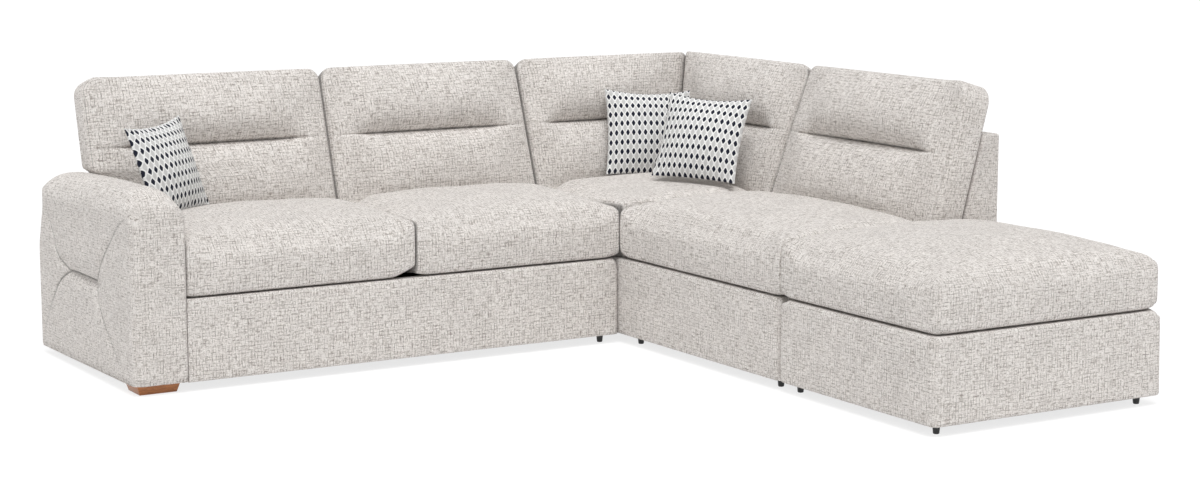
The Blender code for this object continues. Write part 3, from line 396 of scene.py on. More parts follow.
def finish_named(name):
    """The finishes are made once, from the panel's sizes and colours."""
    if not FINISHES:
        sizes = bpy.context.scene.sofa_sizes
        colours = bpy.context.scene.sofa_colours
        FINISHES.update(
            tweed_weave=tweed(sizes, colours),
            patterned_weave=lozenge_print(sizes, colours),
            oak=grained_wood("honey_oak", colours.oak, (9, 60, 60), 0.40, 0.25),
            frame_timber=grained_wood("frame_timber", colours.timber, (4, 30, 30), 0.70),
            black_plastic=moulded_plastic(colours),
            spring_steel=spring_wire(colours),
            black_cloth=spun_felt(colours),
        )
    return FINISHES[name]


# Grid blocks and their soft forms

LOOP_GROWTH = 0.30


def loop_shares(span, step, *fine):
    """Loop places as shares of a span: one each step, and closer near each (place, reach, fine step)."""
    places = [0.0]
    while places[-1] < span:
        pace = step
        for spot, reach, fine_step in fine:
            away = max(0.0, abs(places[-1] - spot) - reach)
            pace = min(pace, fine_step + away * LOOP_GROWTH)
        places.append(places[-1] + pace)
    places = [spot * span / places[-1] for spot in places]
    for spot, _, _ in fine:
        nearest = min(range(len(places)), key=lambda index: abs(places[index] - spot))
        if 0 < nearest < len(places) - 1:
            places[nearest] = spot
    return [spot / span for spot in places]


def end_loops(span, step, reach, fine_step, *fine):
    """The same, closer near both ends of the span."""
    return loop_shares(span, step, (0.0, reach, fine_step), (span, reach, fine_step), *fine)


def grid_block(tables):
    """A unit block with a loop at each share, which each corner keeps as its own share of the block."""
    bm = bmesh.new()
    bmesh.ops.create_cube(bm, size=1)
    bmesh.ops.translate(bm, verts=bm.verts, vec=(0.5, 0.5, 0.5))
    for axis, table in enumerate(tables):
        along = [e for e in bm.edges if abs(e.verts[0].co[axis] - e.verts[1].co[axis]) > 0.5]
        if len(table) > 2:
            bmesh.ops.subdivide_edges(bm, edges=along, cuts=len(table) - 2, use_grid_fill=True)
    share = bm.verts.layers.float_vector.new("share")
    # A layer of painted shade: the tweed darkens its colour by it along creases, seams and slots
    bm.verts.layers.float.new("painted_shade")
    for vert in bm.verts:
        steps = [round(vert.co[axis] * (len(tables[axis]) - 1)) for axis in range(3)]
        vert.co = [tables[axis][steps[axis]] for axis in range(3)]
        vert[share] = vert.co
    return bm


def lay_cloth(bm, sizes, main_axis, shift, top_measures=None):
    """Unfolds the block's sides into a UV map in metres, and gives the layer of shares and the layer of
    painted shade for creases, seams and slots.

    main_axis 2 unfolds round the top (a seat), and 1 round the front (a back cushion or a panel).
    top_measures give the cloth's length across and along a domed top, which is more than its plan.
    """
    share = bm.verts.layers.float_vector["share"]
    cloth = bm.loops.layers.uv.new("cloth")
    width, depth, height = sizes
    for face in bm.faces:
        shares = [vert[share] for vert in face.verts]
        side = (2, 1)
        for axis in range(3):
            for end in (0, 1):
                if all(abs(part[axis] - end) < 1e-6 for part in shares):
                    side = (axis, end)
        for loop in face.loops:
            u, s, h = loop.vert[share]
            x, y, z = u * width, s * depth, h * height
            if main_axis == 2:
                down = height - z
                spots = {
                    (2, 1): (x, y),
                    (1, 0): (x, -down),
                    (1, 1): (x, depth + down),
                    (0, 0): (-down, y),
                    (0, 1): (width + down, y),
                    (2, 0): (x, -height - y),
                }
            else:
                spots = {
                    (1, 0): (x, z),
                    (2, 1): (x, height + y),
                    (2, 0): (x, -y),
                    (0, 0): (-y, z),
                    (0, 1): (width + y, z),
                    (1, 1): (x, 2 * height + depth - z),
                }
            spot = spots[side]
            if top_measures and side == (2, 1):
                spot = (top_measures[0](x), top_measures[1](y))
            loop[cloth].uv = (spot[0] + shift[0], spot[1] + shift[1])
    return share, bm.verts.layers.float["painted_shade"]


def cloth_shift(seed):
    """Where a piece's cloth is cut from, so that no two pieces show the same yarns."""
    return seed * 1.37, seed * 0.73


def rolled(a, b, reach_a, reach_b):
    """Rounds the corner between two faces, given how far inwards of each the point is."""
    if a >= reach_a or b >= reach_b:
        return a, b
    x = 1 - a / reach_a
    y = 1 - b / reach_b
    far = math.hypot(x, y)
    if far == 0:
        return a, b
    k = max(x, y) / far
    return reach_a * (1 - x * k), reach_b * (1 - y * k)


def rolled_ends(a, span, b, reach_a, reach_b, ends=(True, True)):
    """Rounds the corners that face b makes with both ends of a span."""
    if ends[0] and a < span / 2:
        return rolled(a, b, reach_a, reach_b)
    if ends[1] and a > span / 2:
        far, b = rolled(span - a, b, reach_a, reach_b)
        return span - far, b
    return a, b


def plan_rounded(x, y, width, depth, reach, ends=(True, True)):
    """Rounds a block's upright edges in plan, at its front and at its rear."""
    left, front = x < width / 2, y < depth / 2
    if not ends[0 if front else 1]:
        return x, y
    inward_x, inward_y = rolled(x if left else width - x, y if front else depth - y, reach, reach)
    return inward_x if left else width - inward_x, inward_y if front else depth - inward_y


def dome(share, power):
    """One in the middle of a side and zero at its ends."""
    return 1 - abs(2 * share - 1) ** power


def smooth_step(value, low, high):
    """Rises softly from zero at the low value to one at the high one."""
    share = min(max((value - low) / (high - low), 0.0), 1.0)
    return share * share * (3 - 2 * share)


def bell(off, width):
    """One on a line, and fading to nothing a few widths off it."""
    return math.exp(-((off / width) ** 2))


def from_table(value, table):
    """The level at a value, along a soft line through the table's (value, level) pairs."""
    if value <= table[0][0]:
        return table[0][1]
    for (low, first), (high, last) in zip(table, table[1:]):
        if value <= high:
            share = 0.35 * smooth_step(value, low, high) + 0.65 * (value - low) / (high - low)
            return first + (last - first) * share
    return table[-1][1]


def edge_reach(along, span, middle, end, fade=0.075):
    """A roll's reach part of the way along a side: it tightens towards the side's two ends."""
    return end + (middle - end) * smooth_step(min(along, span - along), 0.0, fade)


def slack(co, scale, size, seed):
    """A gentle uneven swell of stuffed cloth."""
    return size * noise.noise(Vector((co.x * scale, co.y * scale, co.z * scale + seed)))


def soften(bm, verts):
    """Takes the hard corners off a form, as stuffing does."""
    bmesh.ops.smooth_vert(bm, verts=verts, factor=0.5, use_axis_x=True, use_axis_y=True, use_axis_z=True)


def add_piece(name, bm, run, slot, nodes):
    """Places the form in the mesh, and says what it rides on, replaces and is made of."""
    bmesh.ops.transform(bm, matrix=run, verts=bm.verts)
    bmesh.ops.recalc_face_normals(bm, faces=bm.faces)
    mesh = bpy.data.meshes.new(name)
    bm.to_mesh(mesh)
    bm.free()
    mesh.shade_smooth()
    mesh.set_sharp_from_angle(angle=math.radians(55))
    piece = bpy.data.objects.new(name, mesh)
    bpy.context.scene.collection.objects.link(piece)
    mesh.materials.append(finish_named(slot))
    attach(piece, BODY)
    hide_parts(*nodes)
    return piece


# Seats

SEAT_EDGE = 0.176
SEAT_LIFT = 0.0006
SEAT_REVEAL = 0.0040
SEAT_END_LEVEL = 0.0155
SEAT_FRONT_RISE = ((0.0, 0.0), (0.06, 0.34), (0.15, 0.64), (0.30, 0.89), (0.48, 1.0), (1.0, 1.0))
SEAT_REAR_FALL = ((0.0, 1.0), (0.62, 1.0), (0.78, 0.82), (0.86, 0.30), (0.92, -0.08), (1.0, -0.18))
# Each kind of end: the front roll's reach back and down there, how far its bottom corner lifts and over
# what length, how round its upright corner is, and how much painted shade darkens its end face in the slot
# beside it
SEAT_ENDS = {
    "arm": (0.016, 0.018, 0.004, 0.030, 0.010, 0.45),
    "split_left": (0.012, 0.014, 0.031, 0.088, 0.008, 0.85),
    "split_right": (0.014, 0.016, 0.009, 0.045, 0.012, 0.85),
    "corner_left": (0.030, 0.040, 0.009, 0.050, 0.006, 0.90),
    "corner_right": (0.020, 0.030, 0.010, 0.040, 0.004, 0.95),
    "flush": (0.012, 0.014, 0.006, 0.040, 0.006, 0.05),
    "inner": (0.030, 0.030, 0.0, 0.040, 0.050, 0.95),
    "free": (0.034, 0.046, 0.0, 0.030, 0.024, 0.0),
}
# How far an end sinks beside its neighbour at the back, over what length, and from which share of the
# depth. "inner_front" is the corner seat's front, where it meets the wide seat.
SEAT_VALLEYS = {
    "split_left": (0.028, 0.060, 0.10),
    "split_right": (0.030, 0.120, 0.10),
    "corner_left": (0.032, 0.110, -0.50),
    "corner_right": (0.012, 0.100, -2.0),
    "inner": (0.036, 0.130, 0.0),
    "inner_front": (0.008, 0.080, 0.0),
}


def seat_shoulder(off, span):
    """How a joined end rises: steeply over its shoulder and then gently to the middle."""
    steep = math.sqrt(1 - (1 - min(off / 0.075, 1.0)) ** 2)
    gentle = 1 - (1 - min(2 * off / span, 1.0)) ** 2.6
    return 0.52 * steep + 0.48 * gentle


def seat_level(u, s, width, depth, crown, joined, front, rear):
    """How far a seat's top stands above its edge height."""
    left, right = joined
    if not front:
        rise = seat_shoulder(u * width, 2 * width) * seat_shoulder(s * depth, 2 * depth)
        fall = from_table(u, SEAT_REAR_FALL) * from_table(s, SEAT_REAR_FALL)
        return (SEAT_END_LEVEL + (crown - SEAT_END_LEVEL) * rise) * fall
    near = min(u * width if left else 1.0, (1 - u) * width if right else 1.0)
    base = SEAT_END_LEVEL * (1 - 0.6 * smooth_step(near, 0.0, 0.25)) if near < 1 else 0.0
    if left and right:
        rise = seat_shoulder(u * width, width) * seat_shoulder((1 - u) * width, width)
    else:
        rise = seat_shoulder(u * width, 1.2 * width) * (1 - max(0.0, 2 * u - 1) ** 2.6)
    if rear:
        base *= (1 - smooth_step(u, 0.3, 0.9)) * dome(s, 8.0)
        return base + (crown - base) * rise * dome(s, 2.6)
    return (base + (crown - base) * rise * from_table(s, SEAT_FRONT_RISE)) * from_table(s, SEAT_REAR_FALL)


def seat_valley(kind, off, share):
    """How far a seat sinks beside its neighbour, this far off its end and at this share of its depth."""
    depth, reach, first = SEAT_VALLEYS.get(kind, (0.0, 0.1, 0.0))
    return depth * (1 - smooth_step(off, 0.0, reach)) * smooth_step(share, first, 0.80)


def seat_piece(name, node, run, start, width, depth, seed, crown, ends, front=True, rear=False):
    """A crowned seat cushion between two kinds of end, whose front and rear may stand free."""
    sizes = bpy.context.scene.sofa_sizes
    joined = [kind != "free" for kind in ends]
    tables = (
        end_loops(width, 0.014, 0.024, 0.005),
        end_loops(depth, 0.014, 0.024, 0.005),
        loop_shares(SEAT_EDGE, 0.012, (0.0, 0.020, 0.004), (SEAT_EDGE, 0.010, 0.006)),
    )
    bm = grid_block(tables)
    share, painted_shade = lay_cloth(bm, (width, depth, SEAT_EDGE), 2, cloth_shift(seed))
    for vert in bm.verts:
        u, s, h = vert[share]
        x, y, down = u * width, s * depth, (1 - h) * SEAT_EDGE
        kind = ends[u > 0.5]
        back, fall, lift, lift_reach, round_reach, slot = SEAT_ENDS[kind]
        off = min(x, width - x)
        # Painted shade on each end face, in the slot beside its neighbour, and less of it along the end's top
        # edge, fading back from the front
        if u in (0, 1):
            vert[painted_shade] = slot if h < 1 else 0.7 * slot * (1 - 0.55 * smooth_step(y, 0.02, 0.40))
        free_end = kind == "free"
        sunk = seat_valley(kind, off, s) + (0.0 if front else seat_valley("inner_front", y, u))
        swell = (seat_level(u, s, width, depth, crown, joined, front, rear) - sunk) * h ** 2
        # The roll from the top down each side, and the tuck under each side
        if front and y < depth / 2 or rear and y > depth / 2:
            grown = smooth_step(off, 0.0, 0.100)
            reach = (back + (sizes.seat_roll - back) * grown, fall + (0.80 * sizes.seat_roll - fall) * grown)
            tuck = (edge_reach(x, width, 0.014, 0.016), edge_reach(x, width, 0.022, 0.036))
        else:
            reach, tuck = (0.014, 0.018), (0.008, 0.010)
        y, down = rolled_ends(y, depth, down, *reach)
        y, up = rolled_ends(y, depth, SEAT_EDGE - down, *tuck)
        down = SEAT_EDGE - up
        if free_end:
            roll = 0.75 * sizes.seat_roll
            across, downward, under = (0.046, 0.056, 0.036) if y > depth / 2 else (0.034, 0.046, 0.020)
            reach = (edge_reach(y, depth, roll, across), edge_reach(y, depth, roll, downward))
            tuck = (edge_reach(y, depth, 0.014, under), edge_reach(y, depth, 0.022, 0.050))
        else:
            reach, tuck = (0.012, 0.016), (0.009, 0.012)
        x, down = rolled_ends(x, width, down, *reach)
        x, up = rolled_ends(x, width, SEAT_EDGE - down, *tuck)
        x, y = plan_rounded(x, y, width, depth, round_reach, (True, rear))
        bulge = sizes.seat_bulge * dome(h, 2.2)
        kept = dome(u, 3) if free_end else 1 - 0.3 * abs(2 * u - 1) ** 6
        if front and s == 0:
            y -= bulge * kept
        if rear and s == 1:
            y += bulge * kept
        if free_end and u == 1:
            x += bulge * dome(s, 3)
        if h == 0:
            inward = min(y if front else 1.0, depth - y if rear else 1.0, width - x if free_end else 1.0)
            up += SEAT_REVEAL * (1 - smooth_step(inward, 0.050, 0.075))
        if front:
            raised = lift * max(0.0, 1 - off / lift_reach) ** 1.25
            up += raised * (1 - h) ** 1.5 * (1 - smooth_step(s * depth, 0.03, 0.12))
        co = Vector((x, y, up + swell))
        if h > 0:
            co.z += slack(co + Vector((seed, 0, 0)), 7.0, 0.0030, seed) * min(1.0, 2 * h)
        side_gap = 0.0009
        front_gap, rear_gap = (0.009 if front else 0.012), (0.009 if rear else 0.004)
        if kind == "corner_right":
            front_gap -= 0.008 * (1 - smooth_step(off, 0.0, 0.09))
        co.x = side_gap + co.x * (width - (0.0 if joined[1] else 0.007) - 2 * side_gap) / width
        co.y = front_gap + co.y * (depth - rear_gap - front_gap) / depth
        vert.co = co + Vector((start, 0, BASE_TOP + SEAT_LIFT))
    soften(bm, [vert for vert in bm.verts if vert[share].z > 0.0])
    add_piece(name, bm, run, "tweed_weave", (node,))


# Back cushions

BACK_THICKNESS = 0.108
BACK_LENGTH = 0.514
BACK_EDGE_ROLL = 0.020
BACK_END_FILL = 0.022
BACK_REAR_SHORT = 0.030
BACK_LOW = 0.4768
BACK_CHANNEL = 0.258
ARM_TOP_AT_BACK = ARM[1].z - 0.015
ARM_SHOULDER = 0.084
ARM_SHOULDER_DROP = 0.088
OVERHANG = 0.062
# How far forward a pillow stands, by share of its height
LOWER_PILLOW = (
    (0.0, 0.30), (0.12, 0.66), (0.30, 0.92), (0.50, 1.0), (0.72, 0.93), (0.86, 0.72), (0.94, 0.46),
    (0.98, 0.22), (1.0, 0.0),
)
UPPER_PILLOW = (
    (0.0, 0.0), (0.02, 0.18), (0.05, 0.35), (0.10, 0.56), (0.17, 0.77), (0.26, 0.93), (0.36, 1.0),
    (0.48, 0.98), (0.64, 0.82), (0.82, 0.50), (1.0, 0.12),
)
PLAIN_PILLOW = ((0.0, 0.28), (0.15, 0.70), (0.35, 0.96), (0.55, 0.96), (0.80, 0.66), (1.0, 0.12))


def over_arm_reach(z):
    """How far the left back cushion may reach out over the arm's rounded top at this height."""
    lift = 1 - (ARM_TOP_AT_BACK + 0.006 - z) / ARM_SHOULDER_DROP
    if lift <= 0:
        return 0.0
    if lift >= 1:
        return OVERHANG
    return min(OVERHANG, ARM_SHOULDER * (1 - math.sqrt(1 - lift ** 2)))


def boxed_edge(x, down, deep, width, corners, reach):
    """Rounds a boxed cushion's outline, and then the edge between its face and its boxing."""
    first = x < width / 2
    radius = corners[0] if first else corners[1]
    near, down = rolled(x if first else width - x, down, radius, radius)
    way = (1.0, 0.0) if near < down else (0.0, 1.0)
    inward = min(near, down)
    if near < radius and down < radius:
        far = math.hypot(radius - near, radius - down)
        inward = radius - far
        way = ((radius - near) / far, (radius - down) / far) if far else way
    moved, deep = rolled(max(inward, 0.0), deep, reach, reach)
    near += way[0] * (moved - inward)
    down += way[1] * (moved - inward)
    return (near if first else width - near), down, deep


def back_piece(
    side, run, start, end, seed, slant, corners=(0.045, 0.045), mitre=None, over_arm=False, free_end=False
):
    """A boxed cushion that leans on the back frame, with a sewn channel between two pillows."""
    sizes = bpy.context.scene.sofa_sizes
    width = end - start
    fine = ((BACK_CHANNEL, 0.016, 0.0028), (BACK_LENGTH, 0.045, 0.0045), (0.0, 0.01, 0.006))
    tables = (
        end_loops(width, 0.014, 0.040, 0.0045),
        loop_shares(BACK_THICKNESS, 0.012, (0.0, 0.014, 0.004), (BACK_THICKNESS, 0.010, 0.006)),
        loop_shares(BACK_LENGTH, 0.013, *fine),
    )
    bm = grid_block(tables)
    share, painted_shade = lay_cloth(bm, (width, BACK_THICKNESS, BACK_LENGTH), 1, cloth_shift(seed))
    channel = BACK_CHANNEL / BACK_LENGTH
    channel_share = min((vert[share].z for vert in bm.verts), key=lambda level: abs(level - channel))
    lean_s, lean_z = math.sin(RECLINE), math.cos(RECLINE)
    front_low = SEAT_DEPTH + (BACK_LOW - BASE_TOP) * LEAN - BACK_THICKNESS / lean_z
    for vert in bm.verts:
        u, t, h = vert[share]
        x, deep, down = u * width, t * BACK_THICKNESS, (1 - h) * BACK_LENGTH
        beyond = (1 - u) * width if free_end else 1.0
        # Forward swell of the two pillows
        pinch = 1 - smooth_step(abs(2 * u - 1), 0.60, 0.84)
        if h < channel:
            pillow = from_table(h / channel, LOWER_PILLOW)
        else:
            pillow = from_table((h - channel) / (1 - channel), UPPER_PILLOW)
        plain = from_table(h, PLAIN_PILLOW)
        swell = dome(u, 3.0) * (pinch * pillow + (1 - pinch) * plain) * sizes.back_crown
        swell += BACK_END_FILL * max(0.0, 1 - beyond / 0.25) ** 3
        valley = bell(abs(h - channel) * BACK_LENGTH, 0.8 * sizes.seam_width)
        swell -= valley * (sizes.seam_depth * (1 - pinch) + sizes.channel_depth * pinch) * dome(u, 12)
        # The outline's top corners, and the edges between the faces and the boxing
        if t < 0.5:
            x, down, deep = boxed_edge(x, down, deep, width, corners, BACK_EDGE_ROLL)
        else:
            rear_roll = 0.009 if free_end and u > 0.5 else 0.020
            x, down, deep_rear = boxed_edge(x, down, BACK_THICKNESS - deep, width, corners, rear_roll)
            deep = BACK_THICKNESS - deep_rear
        # The seam round the front face, and painted shade: along that seam, along the channel, on the sides
        # in the slot between two cushions, and on the free end's rear rim
        on_side = u in (0, 1)
        on_seam = t == 0 and (on_side or h == 1)
        seam = 0.5 * sizes.seam_depth if on_seam else 0.0
        sewn = h == channel_share and t == 0
        beside = on_side and t > 0.05 and not (free_end and u == 1) and not (over_arm and u == 0)
        channel_shade = (0.26 + 0.08 * pinch) * sewn * dome(u, 8)
        seam_shade = 0.50 if over_arm and u == 0 else 0.30
        slot = 0.35 if mitre == ("end" if u > 0.5 else "start") else 0.80
        rim = 0.9 * (free_end and u == 1 and t == 1)
        vert[painted_shade] = max(seam_shade * on_seam, channel_shade, slot * beside, rim)
        deep = deep - swell * (1 - t) ** 1.5 + seam - 0.010 * (1 - t) * (1 - h) ** 1.5
        if on_side and not mitre:
            x += (0.003 if u else -0.003) * dome(t, 2) * dome(h, 4)
        if free_end:
            deep -= 0.008 * t * (1 - smooth_step(beyond, 0.040, 0.080)) * (1 - 0.5 * h)
        climb = (BACK_LENGTH - down) * (1 - deep * LEAN / BACK_LENGTH) + deep * LEAN
        open_end = min(x if over_arm else 1.0, width - x if free_end else 1.0)
        climb -= BACK_REAR_SHORT * t * smooth_step(h, 0.55, 1.0) * smooth_step(open_end, 0.03, 0.16)
        s = front_low + lean_s * climb + lean_z * deep
        z = BACK_LOW + lean_z * climb - lean_s * deep
        low_share = 1 - climb / BACK_LENGTH
        first = start + GAP + slant[0] * low_share
        last = end - GAP + slant[1] * low_share
        if over_arm:
            first -= over_arm_reach(z)
        if mitre == "start":
            first = -s + GAP
        if mitre == "end":
            last = s - GAP
        co = Vector((first + (last - first) * x / width, s, z + (0.0035 if run is WING_RUN else 0.0)))
        swing = slack(co + Vector((seed, 0, 0)), 6.5, 0.0040, seed) * (1 - t) * dome(u, 6)
        co.y += swing * lean_z
        vert.co = co
    soften(bm, [v for v in bm.verts if abs(v[share].z - channel) * BACK_LENGTH > 0.012 and v[share].y > 0])
    add_piece("back_%s_padded" % side, bm, run, "tweed_weave", ("back_cushion_" + side,))


# Arm

ARM_WIDTH = ARM[1].x - ARM[0].x
ARM_HEIGHT = ARM[1].z - FOOT_TOP
ARM_FRONT_REACH = 0.125
ARM_REAR_REACH = 0.165
ARM_DROOP = 0.026
# The outer face's sewn lines, as (distance back, height above the floor)
ARM_SEAMS = (
    ((0.060, 0.572), (0.128, 0.540), (0.203, 0.484), (0.254, 0.445),
     (0.306, 0.394), (0.326, 0.360), (0.346, 0.331)),
    ((0.346, 0.331), (0.340, 0.290), (0.335, 0.263), (0.318, 0.238),
     (0.274, 0.194), (0.209, 0.137), (0.150, 0.088)),
    ((0.604, 0.332), (0.660, 0.346), (0.718, 0.364), (0.746, 0.388),
     (0.762, 0.427), (0.794, 0.472), (0.825, 0.520)),
    ((0.604, 0.332), (0.650, 0.314), (0.700, 0.292), (0.740, 0.264),
     (0.787, 0.216), (0.829, 0.168), (0.885, 0.095)),
)
PLEAT = ((0.350, 0.329), (0.604, 0.331))
# How far the pleat draws in the cloth round it
PLEAT_PULL = 0.008


def softened_line(points, steps=8):
    """More points along a smooth curve through the given ones."""
    found = []
    last = len(points) - 1
    for index in range(last):
        before, first = Vector(points[max(index - 1, 0)]), Vector(points[index])
        second, after = Vector(points[index + 1]), Vector(points[min(index + 2, last)])
        for step in range(steps):
            t = step / steps
            found.append(
                0.5 * (2 * first + (second - before) * t
                + (2 * before - 5 * first + 4 * second - after) * t ** 2
                + (3 * first - before - 3 * second + after) * t ** 3)
            )
    return found + [Vector(points[-1])]


def line_distance(spot, line):
    """(distance, share along) of the nearest place on a line."""
    best, where = 9.0, 0.0
    spans = len(line) - 1
    for index in range(spans):
        first, second = line[index], line[index + 1]
        way = second - first
        t = min(max((spot - first).dot(way) / max(way.length_squared, 1e-12), 0.0), 1.0)
        off = (spot - first - way * t).length
        if off < best:
            best, where = off, (index + t) / spans
    return best, where


def refine_near(bm, lines, reach, rounds):
    """Halves the cells of the outer face that lie near its sewn lines."""
    share = bm.verts.layers.float_vector["share"]
    for turn in range(rounds):
        near = []
        for edge in bm.edges:
            a, b = (vert[share] for vert in edge.verts)
            if a.x > 1e-6 or b.x > 1e-6:
                continue
            middle = (a + b) / 2
            upright = ARM_HEIGHT - ARM_SHOULDER_DROP - ARM_DROOP * middle.y ** 2.4
            spot = Vector((middle.y * SOFA_DEPTH, FOOT_TOP + middle.z * upright))
            if any(line_distance(spot, line)[0] < reach / (turn + 1) for line in lines):
                near.append(edge)
        bmesh.ops.subdivide_edges(bm, edges=near, cuts=1, use_grid_fill=True)
        for vert in bm.verts:
            vert[share] = vert.co


def arc_length(off, reach, drop):
    """How long cloth over a rounded shoulder is, from its edge to a plan distance from it."""
    if off >= reach:
        return QUARTER * (reach + drop) / 2 + off - reach
    return math.acos(1 - off / reach) * (reach + drop) / 2


def both_arcs(off, span, first, last):
    """The same over a span with a shoulder at both ends."""
    if off < span / 2:
        return arc_length(off, first, ARM_SHOULDER_DROP)
    whole = arc_length(span / 2, first, ARM_SHOULDER_DROP) + arc_length(span / 2, last, ARM_SHOULDER_DROP)
    return whole - arc_length(span - off, last, ARM_SHOULDER_DROP)


def arm_top_level(side, y, droop):
    """How high the arm's domed top is at a distance from its side and its front."""
    full = 1.0
    for off, span, power in (
        (side, ARM_SHOULDER, 2.15), (y, ARM_FRONT_REACH, 2.0), (SOFA_DEPTH - y, ARM_REAR_REACH, 2.5)
    ):
        over = min(max(0.0, 1 - off / span), 1.0)
        full *= (1 - over ** power) ** (1 / power)
    return ARM_HEIGHT - droop - ARM_SHOULDER_DROP * (1 - full)


def arm_piece():
    """The padded arm: a domed top, soft upright edges, and a pleat and four sewn lines outside."""
    sizes = bpy.context.scene.sofa_sizes
    tables = (
        end_loops(ARM_WIDTH, 0.012, 0.002, 0.0018),
        end_loops(SOFA_DEPTH, 0.013, 0.004, 0.0022),
        loop_shares(ARM_HEIGHT, 0.013, (0.0, 0.014, 0.005), (ARM_HEIGHT, 0.004, 0.008)),
    )
    bm = grid_block(tables)
    lines = [softened_line(points) for points in ARM_SEAMS]
    pleat = [Vector(point) for point in PLEAT]
    refine_near(bm, lines + [pleat], 0.024, 3)
    share, painted_shade = lay_cloth(
        bm, (ARM_WIDTH, SOFA_DEPTH, ARM_HEIGHT), 2, (0.31, 0.47),
        (lambda x: both_arcs(x, ARM_WIDTH, ARM_SHOULDER, ARM_SHOULDER),
         lambda y: both_arcs(y, SOFA_DEPTH, ARM_FRONT_REACH, ARM_REAR_REACH)),
    )
    for vert in bm.verts:
        u, s, h = vert[share]
        x, y = u * ARM_WIDTH, s * SOFA_DEPTH
        outer, rear = x < ARM_WIDTH / 2, y > SOFA_DEPTH / 2
        rear_reach = 0.008 + 0.062 * smooth_step(h * ARM_HEIGHT, 0.40, 0.66)
        reach = rear_reach if rear else 0.036 if outer else 0.012
        x, y = plan_rounded(x, y, ARM_WIDTH, SOFA_DEPTH, reach)
        droop = ARM_DROOP * (y / SOFA_DEPTH) ** 2.4
        if h == 1:
            z = arm_top_level(min(x, ARM_WIDTH - x), y, droop)
        else:
            z = h * (ARM_HEIGHT - ARM_SHOULDER_DROP - droop)
        if rear:
            off, z = rolled(SOFA_DEPTH - y, z, 0.020, 0.012)
            y = SOFA_DEPTH - off
        tuck = smooth_step(z, 0.0, 0.030)
        if u in (0, 1):
            x += (0.005 if outer else -0.002) * (1 - tuck) ** 2
        if s in (0, 1):
            y += (0.0 if rear else 0.005) * (1 - tuck) ** 2
        if u == 0:
            spot = Vector((y, z + FOOT_TOP))
            level = dome(s, 8.0) * dome(h, 6.0)
            swell = sizes.arm_bulge * (1 - dome(s, 2.6) * dome(h, 2.6)) * dome(h, 9)
            drawn = 0.0
            for line in lines:
                off, along = line_distance(spot, line)
                out = 1 - along if line is lines[0] else along
                fade = 1 - 0.60 * smooth_step(out, 0.30, 1.0)
                groove = sizes.seam_depth * bell(off, 0.0035) + 0.0062 * bell(off, 0.022)
                drawn = max(drawn, fade * groove)
                # Painted shade along each sewn line, fading towards one end
                vert[painted_shade] = max(vert[painted_shade], fade * bell(off, 0.0028))
            off, along = line_distance(spot, pleat)
            width = 0.0065 if spot.y > PLEAT[0][1] else 0.020
            fold = (sizes.pleat_depth - PLEAT_PULL) * dome(0.04 + 0.92 * along, 8) * bell(off, width)
            fold += PLEAT_PULL * bell(off, 0.045)
            # Painted shade in the pleat's fold
            vert[painted_shade] = max(vert[painted_shade], 1.3 * bell(off, 0.0036))
            drawn = max(drawn, fold)
            x += swell + drawn * level
        co = Vector((x, y, z + FOOT_TOP - 0.009 * s * (1 - h) ** 4))
        vert.co = co + Vector((slack(co, 6.0, 0.0015, 3.0) * (1 if u == 0 else 0), 0, 0))
    add_piece("arm_cover_padded", bm, ARM_RUN, "tweed_weave", ("arm_cover",))


# Base panels

BASE_HEM = 0.0035
PANEL_HEIGHT = BASE_HEIGHT - 0.0004
PANEL_ROWS = loop_shares(PANEL_HEIGHT, 0.018, (0.0, 0.010, 0.004), (PANEL_HEIGHT, 0.024, 0.004))


def panel_piece(name, node, run, start, span, end_shows, set_back, seed):
    """An upholstered base panel with a soft top edge, and a rounded far end where it shows."""
    height = PANEL_HEIGHT
    exposed = (False, end_shows)
    tables = (end_loops(span, 0.020, 0.03, 0.006), loop_shares(PANEL, 0.010, (0.0, 0.014, 0.004)), PANEL_ROWS)
    bm = grid_block(tables)
    share, _ = lay_cloth(bm, (span, PANEL, height), 1, cloth_shift(seed))
    for vert in bm.verts:
        u, s, h = vert[share]
        x, y, down = u * span, s * PANEL, (1 - h) * height
        soft = 1 - smooth_step(span - x, 0.0, 0.080) if end_shows else 0.0
        y, down = rolled(y, down, 0.009 + 0.014 * soft, 0.011 + 0.048 * soft)
        y, up = rolled(y, height - down, 0.005, 0.006)
        x, y = rolled_ends(x, span, y, 0.024, 0.024, exposed)
        down = height - up
        x, down = rolled_ends(x, span, down, 0.020, 0.050, exposed)
        swell = 0.0035 * dome(h, 4) * dome(u, 14) * (1 - s)
        co = Vector((x, y + set_back * (1 - s) - swell, FOOT_TOP + height - down - BASE_HEM * (1 - h) ** 6))
        co.y += slack(co, 5.0, 0.0012, seed) * (1 - s)
        vert.co = co + Vector((start, 0, 0))
    add_piece(name, bm, run, "tweed_weave", (node,))


